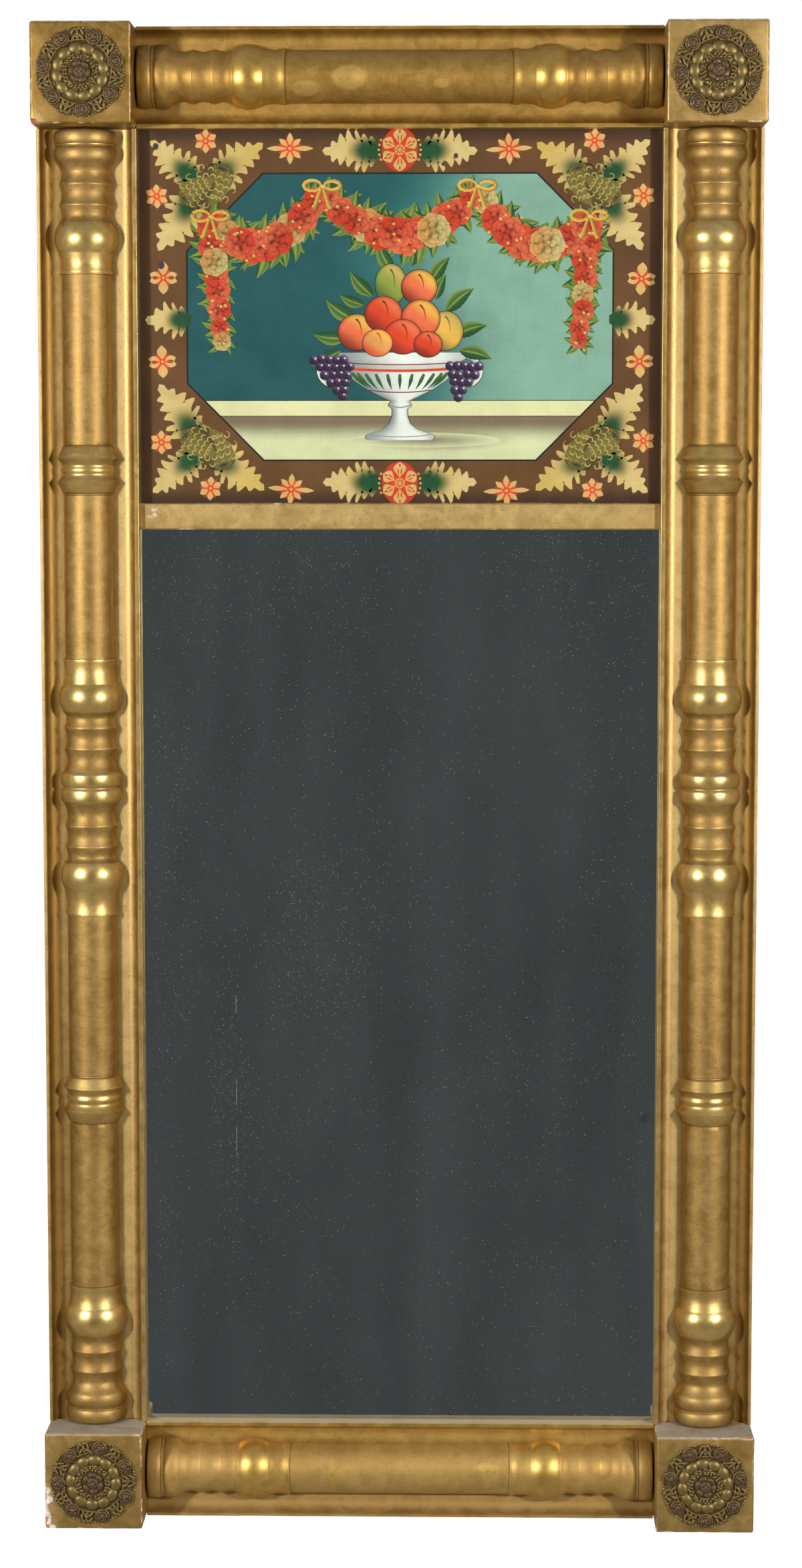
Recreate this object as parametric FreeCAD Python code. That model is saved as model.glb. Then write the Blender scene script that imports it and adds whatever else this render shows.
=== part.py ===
import FreeCAD, Part
import math
import os

Vector = FreeCAD.Vector

# Split column looking glass, in millimetres. X runs to the right as seen from the front, Y from the
# front towards the wall, Z up. The origin is the middle of the bottom rail's back face, on the wall
# plane, so a point at height h above the back of the frame lies at y = -h.

# Frame outline, and the moulded section that stiles and rails share
frame_width = 485.0
frame_height = 1016.0
member_width = 67.0
member_thickness = 22.0
bed_height = 14.5
sight_fillet_width = 3.2
outer_fillet_width = 2.6
rabbet_width = 7.0
rabbet_depth = 12.0
lap_share = 0.5

# Corner blocks, seated on the lapped corners and flush with the frame's outer edges
block_height = 37.5
block_arris = 1.2

# Half columns, all turned to one pattern
upright_shaft_radius = 17.0
cross_shaft_radius = 17.8
upright_offset = 1.5
cross_offset = 1.0
column_end_gap = 0.8
end_band_radius = 20.9
end_band_length = 10.8
torus_radius = 21.8
torus_length = 9.0
torus_shoulder = 2.4
scotia_length = 13.3
neck_radius = 16.6
bead_radius = 18.2
bead_width = 5.4
bead_pitch = 14.0
bead_count = 2
bulb_radius = 21.5
bulb_crown_length = 11.0
bulb_rise_length = 9.8
bulb_fall_length = 9.6
middle_ring_radius = 21.0
middle_ring_length = 10.0
middle_ring_shoulder = 2.4
middle_ring_lip_radius = 20.0
middle_groove_width = 1.4
middle_groove_depth = 1.6
middle_scotia_length = 12.2
spool_radius = 21.0
spool_bead_radius = 18.7
spool_waist_radius = 17.6
spool_gap = 15.6
spool_bead_width = 6.0
spool_cone_length = 9.4
spool_place_share = 0.488

# Stamped rosettes: notched rim, wreath, channel, petals round a dish, and heart
rosette_radius = 30.0
rim_notch_share = 0.95
rim_height = 1.0
wreath_crest_radius = 24.6
wreath_height = 3.4
channel_radius = 20.6
channel_height = 1.3
petal_count = 12
petal_foot_radius = 19.0
petal_crest_radius = 14.4
petal_notch_share = 0.86
petal_height = 4.2
dish_radius = 10.8
dish_height = 2.9
heart_foot_radius = 8.4
heart_crown_radius = 3.4
heart_height = 5.8
heart_flat_count = 10
rose_count = 7
rose_flat_count = 4
rosette_turn_shares = {
    ("left", "top"): -0.241,
    ("right", "top"): 0.229,
    ("left", "bottom"): 0.220,
    ("right", "bottom"): -0.248,
}

# Headless brads through the rosettes' rims
brad_count = 2
brad_circle_radius = 28.0
brad_width = 1.0
brad_proud = 0.3
brad_length = 9.0

# Divider between the painted tablet and the mirror plate
tablet_sight_height = 248.5
divider_width = 18.0
divider_lip = 5.0
divider_edge_chamfer = 1.2
divider_tongue_width = 9.0

# Glass, the slips behind it, the backboards and their brads
glass_thickness = 2.4
glass_clearance = 0.8
slip_thickness = 2.4
slip_width = 11.0
slip_length = 42.0
tablet_slip_count = 2
mirror_slip_count = 4
slip_end_share = 0.16
board_thickness = 5.0
board_clearance = 0.6
board_seam_gap = 0.6
board_brad_width = 1.5
board_brad_length = 22.0
board_brad_bite = 12.0
tablet_brad_count = 2
mirror_brad_count = 3
rail_brad_count = 2
brad_end_share = 0.14

# Headless cut nails from the back into the columns and the corner blocks
nail_width = 2.4
column_nail_bite = 12.0
block_nail_bite = 20.0
upright_nail_shares = (-0.66, -0.30, 0.66)
cross_nail_shares = (-0.30, 0.30)
block_nail_share = 0.12

# Ring hanger, let into a well in the top rail's back so that the frame hangs flat
well_width = 34.0
well_depth = 5.8
well_wall = 4.0
well_top_wall = 6.0
well_margin = 4.0
strap_width = 9.0
strap_thickness = 1.0
strap_length_share = 0.44
eye_flat_count = 8
ring_wire_width = 2.0
ring_eye_clearance = 0.35
ring_bar_length = 22.0
ring_reach_share = 0.36
hanger_nail_width = 1.8
hanger_nail_bite = 6.5
hanger_nail_shares = (0.30, 0.84)

cut_overrun = 1.0

# Places that follow from the sizes above
half_width = frame_width / 2
half_member = member_width / 2
low_edge = -half_member
high_edge = low_edge + frame_height
middle_height = low_edge + frame_height / 2
low_sight = low_edge + member_width
high_sight = high_edge - member_width
sight_half_width = half_width - member_width
stile_middle = half_width - half_member
lap_height = bed_height * lap_share
hollow_radius = member_thickness - bed_height
block_front = bed_height + block_height
divider_top = high_sight - tablet_sight_height
divider_bottom = divider_top - divider_width
tongue_low = (divider_top + divider_bottom - divider_tongue_width) / 2
tongue_high = tongue_low + divider_tongue_width
recess_half_width = sight_half_width + rabbet_width
recess_low = low_sight - rabbet_width
recess_high = high_sight + rabbet_width
glass_back = rabbet_depth - glass_thickness
board_front = glass_back - slip_thickness
board_back = board_front - board_thickness
upright_half_length = frame_height / 2 - member_width - column_end_gap
cross_half_length = sight_half_width - column_end_gap
well_low = recess_high + well_wall
well_high = high_edge - well_top_wall
strap_length = strap_length_share * (well_high - well_low)
ring_reach = ring_reach_share * (well_high - well_low)
eye_inner_radius = ring_wire_width / math.sqrt(2) + ring_eye_clearance
eye_outer_radius = eye_inner_radius + strap_thickness
eye_height = well_depth - eye_outer_radius * math.cos(math.pi / eye_flat_count)
eye_level = well_low + well_margin + strap_length
lobe_count = 2 * rose_count

sides = {"left": -1, "right": 1}
levels = {"top": 1, "bottom": -1}


# Box between two corners given as (x, height above the back, z)
def box(low, high):
    size = [b - a for a, b in zip(low, high)]
    return Part.makeBox(size[0], size[1], size[2], Vector(low[0], -high[1], low[2]))


# The same box on the left or the right side, for a low and a high distance from the middle
def side_box(side, low, high):
    near, far = sorted((side * low[0], side * high[0]))
    return box((near, low[1], low[2]), (far, high[1], high[2]))


# Places between two ends, evenly spaced, with a share of the length left clear at each end
def along(low, high, count, end_share):
    step = (1 - 2 * end_share) / max(count - 1, 1)
    return [low + (high - low) * (end_share + step * i) for i in range(count)]


def line(start, end):
    return Part.LineSegment(start, end).toShape()


# Outer fillet, hollow, flat bed for the column, hollow and sight fillet, drawn from the outer edge
def member_section():
    def at(across, height):
        return Vector(across, -height, 0)

    belly = hollow_radius / math.sqrt(2)
    outer_middle = outer_fillet_width + hollow_radius
    inner_middle = member_width - sight_fillet_width - hollow_radius
    corners = [
        at(0, 0),
        at(0, member_thickness),
        at(outer_fillet_width, member_thickness),
        at(outer_middle, bed_height),
        at(inner_middle, bed_height),
        at(member_width - sight_fillet_width, member_thickness),
        at(member_width, member_thickness),
        at(member_width, 0),
    ]
    edges = [line(a, b) for a, b in zip(corners, corners[1:] + corners[:1])]
    outer_belly = at(outer_middle - belly, member_thickness - belly)
    inner_belly = at(inner_middle + belly, member_thickness - belly)
    edges[2] = Part.Arc(corners[2], outer_belly, corners[3]).toShape()
    edges[4] = Part.Arc(corners[4], inner_belly, corners[5]).toShape()
    return Part.Face(Part.Wire(edges))


# The rabbet behind the sight edges, square at its corners
def glass_recess():
    low = (-recess_half_width, -cut_overrun, recess_low)
    return box(low, (recess_half_width, rabbet_depth, recess_high))


# Upright, moulded between the blocks, with the back half of each corner lap
def stile(side):
    shape = member_section().extrude(Vector(0, 0, high_sight - low_sight))
    shape.translate(Vector(-half_width, 0, low_sight))
    for low in (low_edge, high_sight):
        shape = shape.fuse(box((-half_width, 0, low), (-sight_half_width, lap_height, low + member_width)))
    if side > 0:
        shape = shape.mirror(Vector(0, 0, 0), Vector(1, 0, 0))
    cuts = [glass_recess()] + upright_nails(side) + stile_brads(side)
    cuts += [block_nail(side, level) for level in levels.values()]
    return shape.cut(cuts).removeSplitter()


# Cross rail, moulded between the blocks, with the front half of each corner lap
def rail(level):
    shape = member_section().extrude(Vector(0, 0, 2 * sight_half_width))
    shape.rotate(Vector(0, 0, 0), Vector(0, 1, 0), 90)
    shape.translate(Vector(-sight_half_width, 0, high_edge))
    for low in (-half_width, sight_half_width):
        shape = shape.fuse(box((low, lap_height, high_sight), (low + member_width, bed_height, high_edge)))
    if level < 0:
        shape = shape.mirror(Vector(0, 0, middle_height), Vector(0, 0, 1))
    cuts = [glass_recess(), hanger_well()] + hanger_nails() + cross_nails(level) + rail_brads(level)
    cuts += [block_nail(side, level) for side in sides.values()]
    return shape.cut(cuts).removeSplitter()


def block_middle(side, level):
    return side * stile_middle, middle_height + level * (frame_height / 2 - half_member)


# Square block, eased round its front and down its four corners
def corner_block(side, level):
    x, z = block_middle(side, level)
    low = (x - half_member, bed_height, z - half_member)
    shape = box(low, (x + half_member, block_front, z + half_member))
    eased = [e for e in shape.Edges if e.BoundBox.YMin < -bed_height - block_height / 2]
    return shape.makeChamfer(block_arris, eased).cut(block_nail(side, level))


# Turned outlines are lists of (place along the axis, radius), each starting on the shaft.
# The capital that every column end and middle shares: a swelling bulb, and beads on a slim neck
def capital_outline(shaft_radius):
    crown_end = bulb_rise_length + bulb_crown_length
    points = [(0, shaft_radius), (bulb_rise_length, bulb_radius), (crown_end, bulb_radius)]
    foot = crown_end + bulb_fall_length
    for i in range(bead_count):
        start = foot + i * bead_pitch
        end = start + bead_width
        points += [(start, neck_radius), ((start + end) / 2, bead_radius), (end, neck_radius)]
    return points


# A round moulding of the given length: its lips, and a flat crown between two shoulders
def moulding(start, length, shoulder, lip_radius, crown_radius):
    end = start + length
    crown = [(start + shoulder, crown_radius), (end - shoulder, crown_radius)]
    return [(start, lip_radius)] + crown + [(end, lip_radius)]


# The end of a column: capital, scotia, torus and the flat band beside the block
def end_outline(shaft_radius):
    points = capital_outline(shaft_radius)
    torus_start = points[-1][0] + scotia_length
    points += moulding(torus_start, torus_length, torus_shoulder, end_band_radius, torus_radius)
    band_end = points[-1][0] + end_band_length
    return points + [(band_end, end_band_radius), (band_end, 0)]


# The middle of an upright, from its centre groove outwards: ring, scotia and a capital turned round
def middle_outline(shaft_radius):
    points = capital_outline(shaft_radius)
    ring = points[-1][0] + middle_scotia_length
    points += moulding(ring, middle_ring_length, middle_ring_shoulder,
                       middle_ring_lip_radius, middle_ring_radius)
    centre = points[-1][0] + middle_groove_width / 2
    points += [(centre, middle_ring_lip_radius - middle_groove_depth), (centre, 0)]
    return [(centre - place, radius) for place, radius in reversed(points)]


# Spool on an upright's shaft: a cone up to a ridge, a hollow, a bead, and the same back
def spool_outline(shaft_radius):
    waist = spool_cone_length + (spool_gap - spool_bead_width) / 2
    middle = spool_cone_length + spool_gap / 2
    half = [(0, shaft_radius), (spool_cone_length, spool_radius), (waist, spool_waist_radius)]
    back = [(2 * middle - place, radius) for place, radius in reversed(half)]
    return half + [(middle, spool_bead_radius)] + back


def shifted(points, start):
    return [(place + start, radius) for place, radius in points]


# Half column lying along Z, its flat on the plane y = 0 and its round side towards the front
def half_column(half_length, shaft_radius, is_upright):
    end = end_outline(shaft_radius)
    points = [(0, 0), (0, shaft_radius)]
    if is_upright:
        spool = spool_outline(shaft_radius)
        points = middle_outline(shaft_radius)
        points += shifted(spool, half_length * spool_place_share - spool[-1][0] / 2)
    points += shifted(end, half_length - end[-1][0])
    corners = [Vector(radius, 0, place) for place, radius in points]
    face = Part.Face(Part.makePolygon(corners + corners[:1]))
    half = face.revolve(Vector(0, 0, 0), Vector(0, 0, -1), 180)
    return half.fuse(half.mirror(Vector(0, 0, 0), Vector(0, 0, 1))).removeSplitter()


def upright_column(side):
    shape = half_column(upright_half_length, upright_shaft_radius, True)
    shape.translate(Vector(side * (stile_middle + upright_offset), -bed_height, middle_height))
    return shape.cut(upright_nails(side))


def cross_height(level):
    return middle_height + level * (frame_height / 2 - half_member + cross_offset)


def cross_column(level):
    shape = half_column(cross_half_length, cross_shaft_radius, False)
    shape.rotate(Vector(0, 0, 0), Vector(0, 1, 0), 90)
    shape.translate(Vector(0, -bed_height, cross_height(level)))
    return shape.cut(cross_nails(level))


# Square nail or brad driven along Y between two heights above the back
def nail(x, z, width, back, front):
    half = width / 2
    return box((x - half, back, z - half), (x + half, front, z + half))


def upright_nails(side):
    x = side * (stile_middle + upright_offset)
    places = [middle_height + share * upright_half_length for share in upright_nail_shares]
    return [nail(x, z, nail_width, 0, bed_height + column_nail_bite) for z in places]


def cross_nails(level):
    places = [share * cross_half_length for share in cross_nail_shares]
    return [nail(x, cross_height(level), nail_width, 0, bed_height + column_nail_bite) for x in places]


def block_nail(side, level):
    x, z = block_middle(side, level)
    step = block_nail_share * member_width
    return nail(x + side * step, z - level * step, nail_width, 0, bed_height + block_nail_bite)


# Ring of corners, on radii that follow one another in turn, at one height
def corner_ring(radii, height, flats):
    turns = [2 * math.pi * i / flats for i in range(flats)]
    return [Vector(radii[i % len(radii)] * math.cos(t), radii[i % len(radii)] * math.sin(t), height)
            for i, t in enumerate(turns)]


# Flat-sided solid through rings of corners, its first and last rings closed
def flat_sided(rings):
    faces = [Part.Face(Part.makePolygon(ring + ring[:1])) for ring in (rings[0], rings[-1])]
    for low, high in zip(rings, rings[1:]):
        for i in range(len(low)):
            corners = [low[i - 1], low[i], high[i], high[i - 1]]
            faces.append(Part.Face(Part.makePolygon(corners + corners[:1])))
    return Part.Solid(Part.Shell(faces))


# Stamping with a notched rim, a wreath, a channel, a ring of petals round a dish, and a heart
def rosette_stamping():
    def rim_ring(radius, height):
        return corner_ring([radius, radius * rim_notch_share], height, rose_count * rose_flat_count)

    def petal_ring(radius, height):
        return corner_ring([radius, radius * petal_notch_share], height, 2 * petal_count)

    def heart_ring(radius, height):
        return corner_ring([radius], height, heart_flat_count)

    wreath = flat_sided([
        rim_ring(rosette_radius, 0),
        rim_ring(rosette_radius, rim_height),
        rim_ring(wreath_crest_radius, wreath_height),
        rim_ring(channel_radius, channel_height),
    ])
    petals = flat_sided([
        petal_ring(petal_foot_radius, channel_height),
        petal_ring(petal_crest_radius, petal_height),
        petal_ring(dish_radius, dish_height),
    ])
    heart = flat_sided([
        heart_ring(heart_foot_radius, dish_height),
        heart_ring(heart_crown_radius, heart_height),
    ])
    return wreath.fuse([petals, heart]).removeSplitter()


# Brads of one rosette, through lobes of its rim that lie between roses
def rosette_brads():
    brads = []
    for i in range(brad_count):
        lobe = 1 + 2 * round(i * rose_count / brad_count)
        turn = 2 * math.pi * lobe / lobe_count
        half = brad_width / 2
        foot = Vector(brad_circle_radius * math.cos(turn) - half, brad_circle_radius * math.sin(turn) - half,
                      rim_height + brad_proud - brad_length)
        brads.append(Part.makeBox(brad_width, brad_width, brad_length, foot))
    return brads


# Set on a block's face, turned as that corner's stamping is turned
def on_block(shape, side_name, level_name):
    x, z = block_middle(sides[side_name], levels[level_name])
    shape = shape.copy()
    shape.rotate(Vector(0, 0, 0), Vector(0, 0, 1), 360 * rosette_turn_shares[side_name, level_name])
    shape.rotate(Vector(0, 0, 0), Vector(1, 0, 0), 90)
    shape.translate(Vector(x, -block_front, z))
    return shape


# Bar with an eased front lip over the edges of both glasses, its tongue set in the stiles' rabbets
def divider_rail():
    lip_front = rabbet_depth + divider_lip
    lip = box((-sight_half_width, rabbet_depth, divider_bottom), (sight_half_width, lip_front, divider_top))
    eased = [e for e in lip.Edges if e.BoundBox.YMax < -lip_front + divider_lip / 2
             and e.BoundBox.XLength > sight_half_width]
    lip = lip.makeChamfer(divider_edge_chamfer, eased)
    tongue = box((-recess_half_width, board_back, tongue_low), (recess_half_width, rabbet_depth, tongue_high))
    return lip.fuse(tongue).removeSplitter()


# A plate that lies in the rabbet between two levels, held off its walls by a clearance
def rabbet_plate(low_z, high_z, back, front, clearance):
    half = recess_half_width - clearance
    return box((-half, back, low_z + clearance), (half, front, high_z - clearance))


# Wood slips glued at the sides of the rabbet, between the glass and its backboard
def slips(low_z, high_z, count):
    solids = []
    for side in sides.values():
        for z in along(low_z, high_z, count, slip_end_share):
            low = (recess_half_width - slip_width, board_front, z - slip_length / 2)
            solids.append(side_box(side, low, (recess_half_width, glass_back, z + slip_length / 2)))
    return solids


def half_board(side):
    half = recess_half_width - board_clearance
    low = (board_seam_gap / 2, board_back, recess_low + board_clearance)
    return side_box(side, low, (half, board_front, tongue_low - board_clearance))


# Brads driven flat over the backboards into the rabbet's walls
def stile_brads(side):
    places = along(tongue_high, recess_high, tablet_brad_count, brad_end_share)
    places += along(recess_low, tongue_low, mirror_brad_count, brad_end_share)
    far = recess_half_width + board_brad_bite
    half = board_brad_width / 2
    return [side_box(side, (far - board_brad_length, board_back - board_brad_width, z - half),
                     (far, board_back, z + half)) for z in places]


def rail_brads(level):
    edge = recess_high if level > 0 else recess_low
    far = edge + level * board_brad_bite
    low_z, high_z = sorted((far, far - level * board_brad_length))
    half = board_brad_width / 2
    return [box((x - half, board_back - board_brad_width, low_z), (x + half, board_back, high_z))
            for x in along(-sight_half_width, sight_half_width, rail_brad_count, brad_end_share)]


# Pocket for the hanger between the rabbet and the top edge, with its strap low and room for the raised ring
def hanger_well():
    return box((-well_width / 2, -cut_overrun, well_low), (well_width / 2, well_depth, well_high))


def hanger_nails():
    back = well_depth - strap_thickness
    return [nail(0, eye_level - share * strap_length, hanger_nail_width, back, well_depth + hanger_nail_bite)
            for share in hanger_nail_shares]


# Prism along X round the eye's axis, one of its flats level with the strap
def eye_prism(radius, half_length):
    ring = corner_ring([radius], 0, eye_flat_count)
    corners = [Vector(-half_length, p.x, p.y) for p in ring]
    shape = Part.Face(Part.makePolygon(corners + corners[:1])).extrude(Vector(2 * half_length, 0, 0))
    shape.rotate(Vector(0, 0, 0), Vector(1, 0, 0), 180 / eye_flat_count)
    shape.translate(Vector(0, -eye_height, eye_level))
    return shape


# Iron strap nailed to the floor of the well, its upper end rolled into an eye
def hanger_strap():
    half = strap_width / 2
    low = (-half, well_depth - strap_thickness, eye_level - strap_length)
    plate = box(low, (half, well_depth, eye_level))
    eye_end = Vector(-half, -eye_height, eye_level)
    bore = Part.makeCylinder(eye_inner_radius, strap_width, eye_end, Vector(1, 0, 0))
    return plate.fuse(eye_prism(eye_outer_radius, half)).cut([bore] + hanger_nails()).removeSplitter()


# Three-sided ring of square wire that hangs from the eye, over its strap
def hanger_ring():
    half = ring_bar_length / 2
    middle = [Vector(-half, 0, 0), Vector(half, 0, 0), Vector(0, 0, -ring_reach)]
    wire = Part.makePolygon(middle + middle[:1])
    grown = wire.makeOffset2D(ring_wire_width / 2, 2)
    shrunk = wire.makeOffset2D(-ring_wire_width / 2, 2)
    shape = Part.Face(Part.Wire(grown.Edges)).cut(Part.Face(Part.Wire(shrunk.Edges)))
    shape = shape.extrude(Vector(0, ring_wire_width, 0))
    shape.translate(Vector(0, -eye_height - ring_wire_width / 2, eye_level))
    return shape.Solids[0]


def save(name, shape):
    if isinstance(shape, list):
        shape = Part.makeCompound(shape)
    shape.exportStep("parts/%s.step" % name)
    print(name, "solids", len(shape.Solids), "valid", shape.isValid(), "volume", round(shape.Volume))


os.makedirs("parts", exist_ok=True)

stamping = rosette_stamping()
corner_brads = []
for side_name, side in sides.items():
    save(side_name + "_stile", stile(side))
    save(side_name + "_column", upright_column(side))
for level_name, level in levels.items():
    save(level_name + "_rail", rail(level))
    save(level_name + "_column", cross_column(level))
    for side_name, side in sides.items():
        corner = "%s_%s" % (level_name, side_name)
        brads = [on_block(brad, side_name, level_name) for brad in rosette_brads()]
        corner_brads += brads
        save("corner_block_" + corner, corner_block(side, level).cut(brads))
        save("rosette_" + corner, on_block(stamping, side_name, level_name).cut(brads))
save("rosette_brads", corner_brads)

save("divider_rail", divider_rail())
save("tablet_glass", rabbet_plate(tongue_high, recess_high, glass_back, rabbet_depth, glass_clearance))
save("mirror_glass", rabbet_plate(recess_low, tongue_low, glass_back, rabbet_depth, glass_clearance))
save("tablet_slips", slips(tongue_high, recess_high, tablet_slip_count))
save("mirror_slips", slips(recess_low, tongue_low, mirror_slip_count))
save("tablet_backboard", rabbet_plate(tongue_high, recess_high, board_back, board_front, board_clearance))
for side_name, side in sides.items():
    save("mirror_backboard_" + side_name, half_board(side))

save("backboard_brads", [brad for side in sides.values() for brad in stile_brads(side)]
     + [brad for level in levels.values() for brad in rail_brads(level)])
save("column_nails", [n for side in sides.values() for n in upright_nails(side)]
     + [n for level in levels.values() for n in cross_nails(level)])
save("block_nails", [block_nail(side, level) for side in sides.values() for level in levels.values()])

save("hanger_strap", hanger_strap())
save("hanger_ring", hanger_ring())
save("hanger_nails", hanger_nails())
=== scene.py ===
import math
import random

import bmesh
import bpy
from mathutils import Matrix, Vector


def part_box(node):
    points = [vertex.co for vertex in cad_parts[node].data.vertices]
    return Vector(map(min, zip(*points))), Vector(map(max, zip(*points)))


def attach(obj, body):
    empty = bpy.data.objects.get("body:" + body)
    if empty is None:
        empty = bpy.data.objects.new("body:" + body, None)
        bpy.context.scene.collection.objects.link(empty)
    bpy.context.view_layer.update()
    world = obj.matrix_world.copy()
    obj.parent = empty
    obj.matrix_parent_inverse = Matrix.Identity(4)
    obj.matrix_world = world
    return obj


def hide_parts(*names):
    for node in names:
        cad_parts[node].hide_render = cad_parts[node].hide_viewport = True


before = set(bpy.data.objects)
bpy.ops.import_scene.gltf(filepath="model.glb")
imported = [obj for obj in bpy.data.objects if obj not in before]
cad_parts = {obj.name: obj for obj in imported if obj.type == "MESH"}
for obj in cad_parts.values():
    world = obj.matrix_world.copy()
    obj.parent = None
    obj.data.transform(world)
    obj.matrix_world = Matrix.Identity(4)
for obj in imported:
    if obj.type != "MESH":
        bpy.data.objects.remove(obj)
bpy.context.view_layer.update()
mm = 0.001


# Selection and modifiers, as at the keyboard
def clearSelection():
    if bpy.context.object and bpy.context.object.mode != "OBJECT":
        bpy.ops.object.mode_set(mode="OBJECT")
    bpy.ops.object.select_all(action="DESELECT")


def pick(piece):
    clearSelection()
    piece.select_set(True)
    bpy.context.view_layer.objects.active = piece


def applyModifier(piece, kind, **settings):
    pick(piece)
    bpy.ops.object.modifier_add(type=kind)
    modifier = piece.modifiers[-1]
    for key, value in settings.items():
        setattr(modifier, key, value)
    bpy.ops.object.modifier_apply(modifier=modifier.name)


def joinPieces(name, pieces):
    clearSelection()
    for piece in pieces:
        piece.select_set(True)
    bpy.context.view_layer.objects.active = pieces[0]
    if len(pieces) > 1:
        bpy.ops.object.join()
    pieces[0].name = name
    pieces[0].data.name = name
    return pieces[0]


def copyPiece(piece, name):
    twin = piece.copy()
    twin.data = piece.data.copy()
    twin.name = name
    twin.data.name = name
    bpy.context.scene.collection.objects.link(twin)
    return twin


def placeMesh(piece, matrix):
    piece.data.transform(matrix)
    if matrix.determinant() < 0:
        piece.data.flip_normals()
    piece.data.update()


def smoothBy(piece, degrees):
    pick(piece)
    bpy.ops.object.shade_smooth_by_angle(angle=math.radians(degrees))


# Steps in edit mode, each on the whole mesh
def editWhole(piece, *steps):
    pick(piece)
    bpy.ops.object.mode_set(mode="EDIT")
    for step in steps:
        bpy.ops.mesh.select_all(action="SELECT")
        step()
    bpy.ops.object.mode_set(mode="OBJECT")


def faceOutwards():
    bpy.ops.mesh.normals_make_consistent(inside=False)


# A line drawn point by point in edit mode
def penLine(name, spots):
    clearSelection()
    bpy.ops.mesh.primitive_plane_add(size=mm, location=(0, 0, 0))
    piece = bpy.context.object
    piece.name = piece.data.name = name
    bpy.ops.object.mode_set(mode="EDIT")
    bpy.ops.mesh.select_all(action="SELECT")
    bpy.ops.mesh.merge(type="CENTER")
    bpy.ops.transform.translate(value=spots[0])
    for here, there in zip(spots, spots[1:]):
        bpy.ops.mesh.extrude_region_move(TRANSFORM_OT_translate={"value": there - here})
    bpy.ops.object.mode_set(mode="OBJECT")
    return piece


def dress(piece, nodes, materials, body="frame"):
    piece.data.materials.clear()
    for material in materials:
        piece.data.materials.append(material)
    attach(piece, body)
    if nodes:
        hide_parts(*nodes)


# Node helpers: each gives back the socket that carries its result
def node(tree, kind, inputs=None, **settings):
    made = tree.nodes.new("ShaderNode" + kind)
    for key, value in settings.items():
        setattr(made, key, value)
    for key, value in (inputs or {}).items():
        if isinstance(value, bpy.types.NodeSocket):
            tree.links.new(value, made.inputs[key])
        else:
            made.inputs[key].default_value = value
    return made


def calc(tree, operation, a, b=0.0, clamp=False):
    return node(tree, "Math", {0: a, 1: b}, operation=operation, use_clamp=clamp).outputs[0]


# The sum of values, each times its weight
def weighed(tree, *parts):
    total, *others = [calc(tree, "MULTIPLY", value, weight) for value, weight in parts]
    for other in others:
        total = calc(tree, "ADD", total, other)
    return total


def blend(tree, factor, a, b, mode="MIX"):
    made = node(tree, "Mix", {0: factor, 6: a, 7: b}, data_type="RGBA", blend_type=mode)
    return made.outputs[2]


def between(tree, factor, a, b):
    return node(tree, "Mix", {0: factor, 2: a, 3: b}, data_type="FLOAT").outputs[0]


def fade(tree, value, low, high, start=0.0, end=1.0):
    made = node(tree, "MapRange", {0: value, 1: low, 2: high, 3: start, 4: end},
                interpolation_type="SMOOTHSTEP")
    return made.outputs[0]


def noise(tree, coord, scale, detail=3.0, roughness=0.55, distortion=0.0):
    made = node(tree, "TexNoise", {"Vector": coord, "Scale": scale, "Detail": detail,
                                   "Roughness": roughness, "Distortion": distortion})
    return made.outputs["Fac"]


def stretched(tree, coord, scale):
    return node(tree, "Mapping", {"Vector": coord, "Scale": scale}).outputs[0]


def ramp(tree, factor, stops):
    made = node(tree, "ValToRGB", {0: factor})
    while len(made.color_ramp.elements) < len(stops):
        made.color_ramp.elements.new(0.5)
    for element, (place, colour) in zip(made.color_ramp.elements, stops):
        element.position = place
        element.color = (*colour, 1.0)
    return made.outputs[0]


def newGroup(name, inputs, outputs):
    group = bpy.data.node_groups.new(name, "ShaderNodeTree")
    for direction, sockets in (("INPUT", inputs), ("OUTPUT", outputs)):
        for label, kind in sockets:
            group.interface.new_socket(name=label, in_out=direction, socket_type="NodeSocket" + kind)
    return group, group.nodes.new("NodeGroupInput").outputs, group.nodes.new("NodeGroupOutput").inputs


def useGroup(tree, group, inputs):
    made = tree.nodes.new("ShaderNodeGroup")
    made.node_tree = group
    for key, value in inputs.items():
        if isinstance(value, bpy.types.NodeSocket):
            tree.links.new(value, made.inputs[key])
        else:
            made.inputs[key].default_value = value
    return made.outputs


def newMaterial(name):
    material = bpy.data.materials.new(name)
    material.use_nodes = True
    tree = material.node_tree
    coord = node(tree, "TexCoord").outputs["Object"]
    return material, tree, tree.nodes["Principled BSDF"].inputs, coord


def setBump(tree, shader, height, strength, distance):
    bump = node(tree, "Bump", {"Height": height, "Strength": strength, "Distance": distance})
    tree.links.new(bump.outputs[0], shader["Normal"])


def attribute(tree, name):
    return node(tree, "Attribute", attribute_name=name).outputs["Fac"]


def normalPart(tree, index):
    return node(tree, "SeparateXYZ", {0: node(tree, "NewGeometry").outputs["Normal"]}).outputs[index]


# Camera, lights, floor and the studio round them
stageSettings = {
    "imageSize": (1200, 2346),
    "focalPixels": 4799.94,
    "sensor": 36.0,
    "cameraPlace": (0.04445, -2.18666, 0.68637),
    "yaw": 1.150,
    "pitch": -5.516,
    "lampAzimuth": 42.0,
    "lampDistance": 2.2,
    "lampLevel": 0.82,
    "lampSize": 0.19,
    "lampPower": 37.0,
    "lampAim": (0, 0, 0.47),
    "lampColour": (1.0, 0.965, 0.91),
    "floorLevel": -0.75,
    "floorSize": 14.0,
    "openWhite": 1.0,
    "fillLight": 0.14,
    # the dark part of the room that the plate mirrors: azimuth and elevation of its middle, in radians
    "darkMiddle": (-0.02, -0.15),
    "darkSpread": (0.20, 0.40),
}


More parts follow.
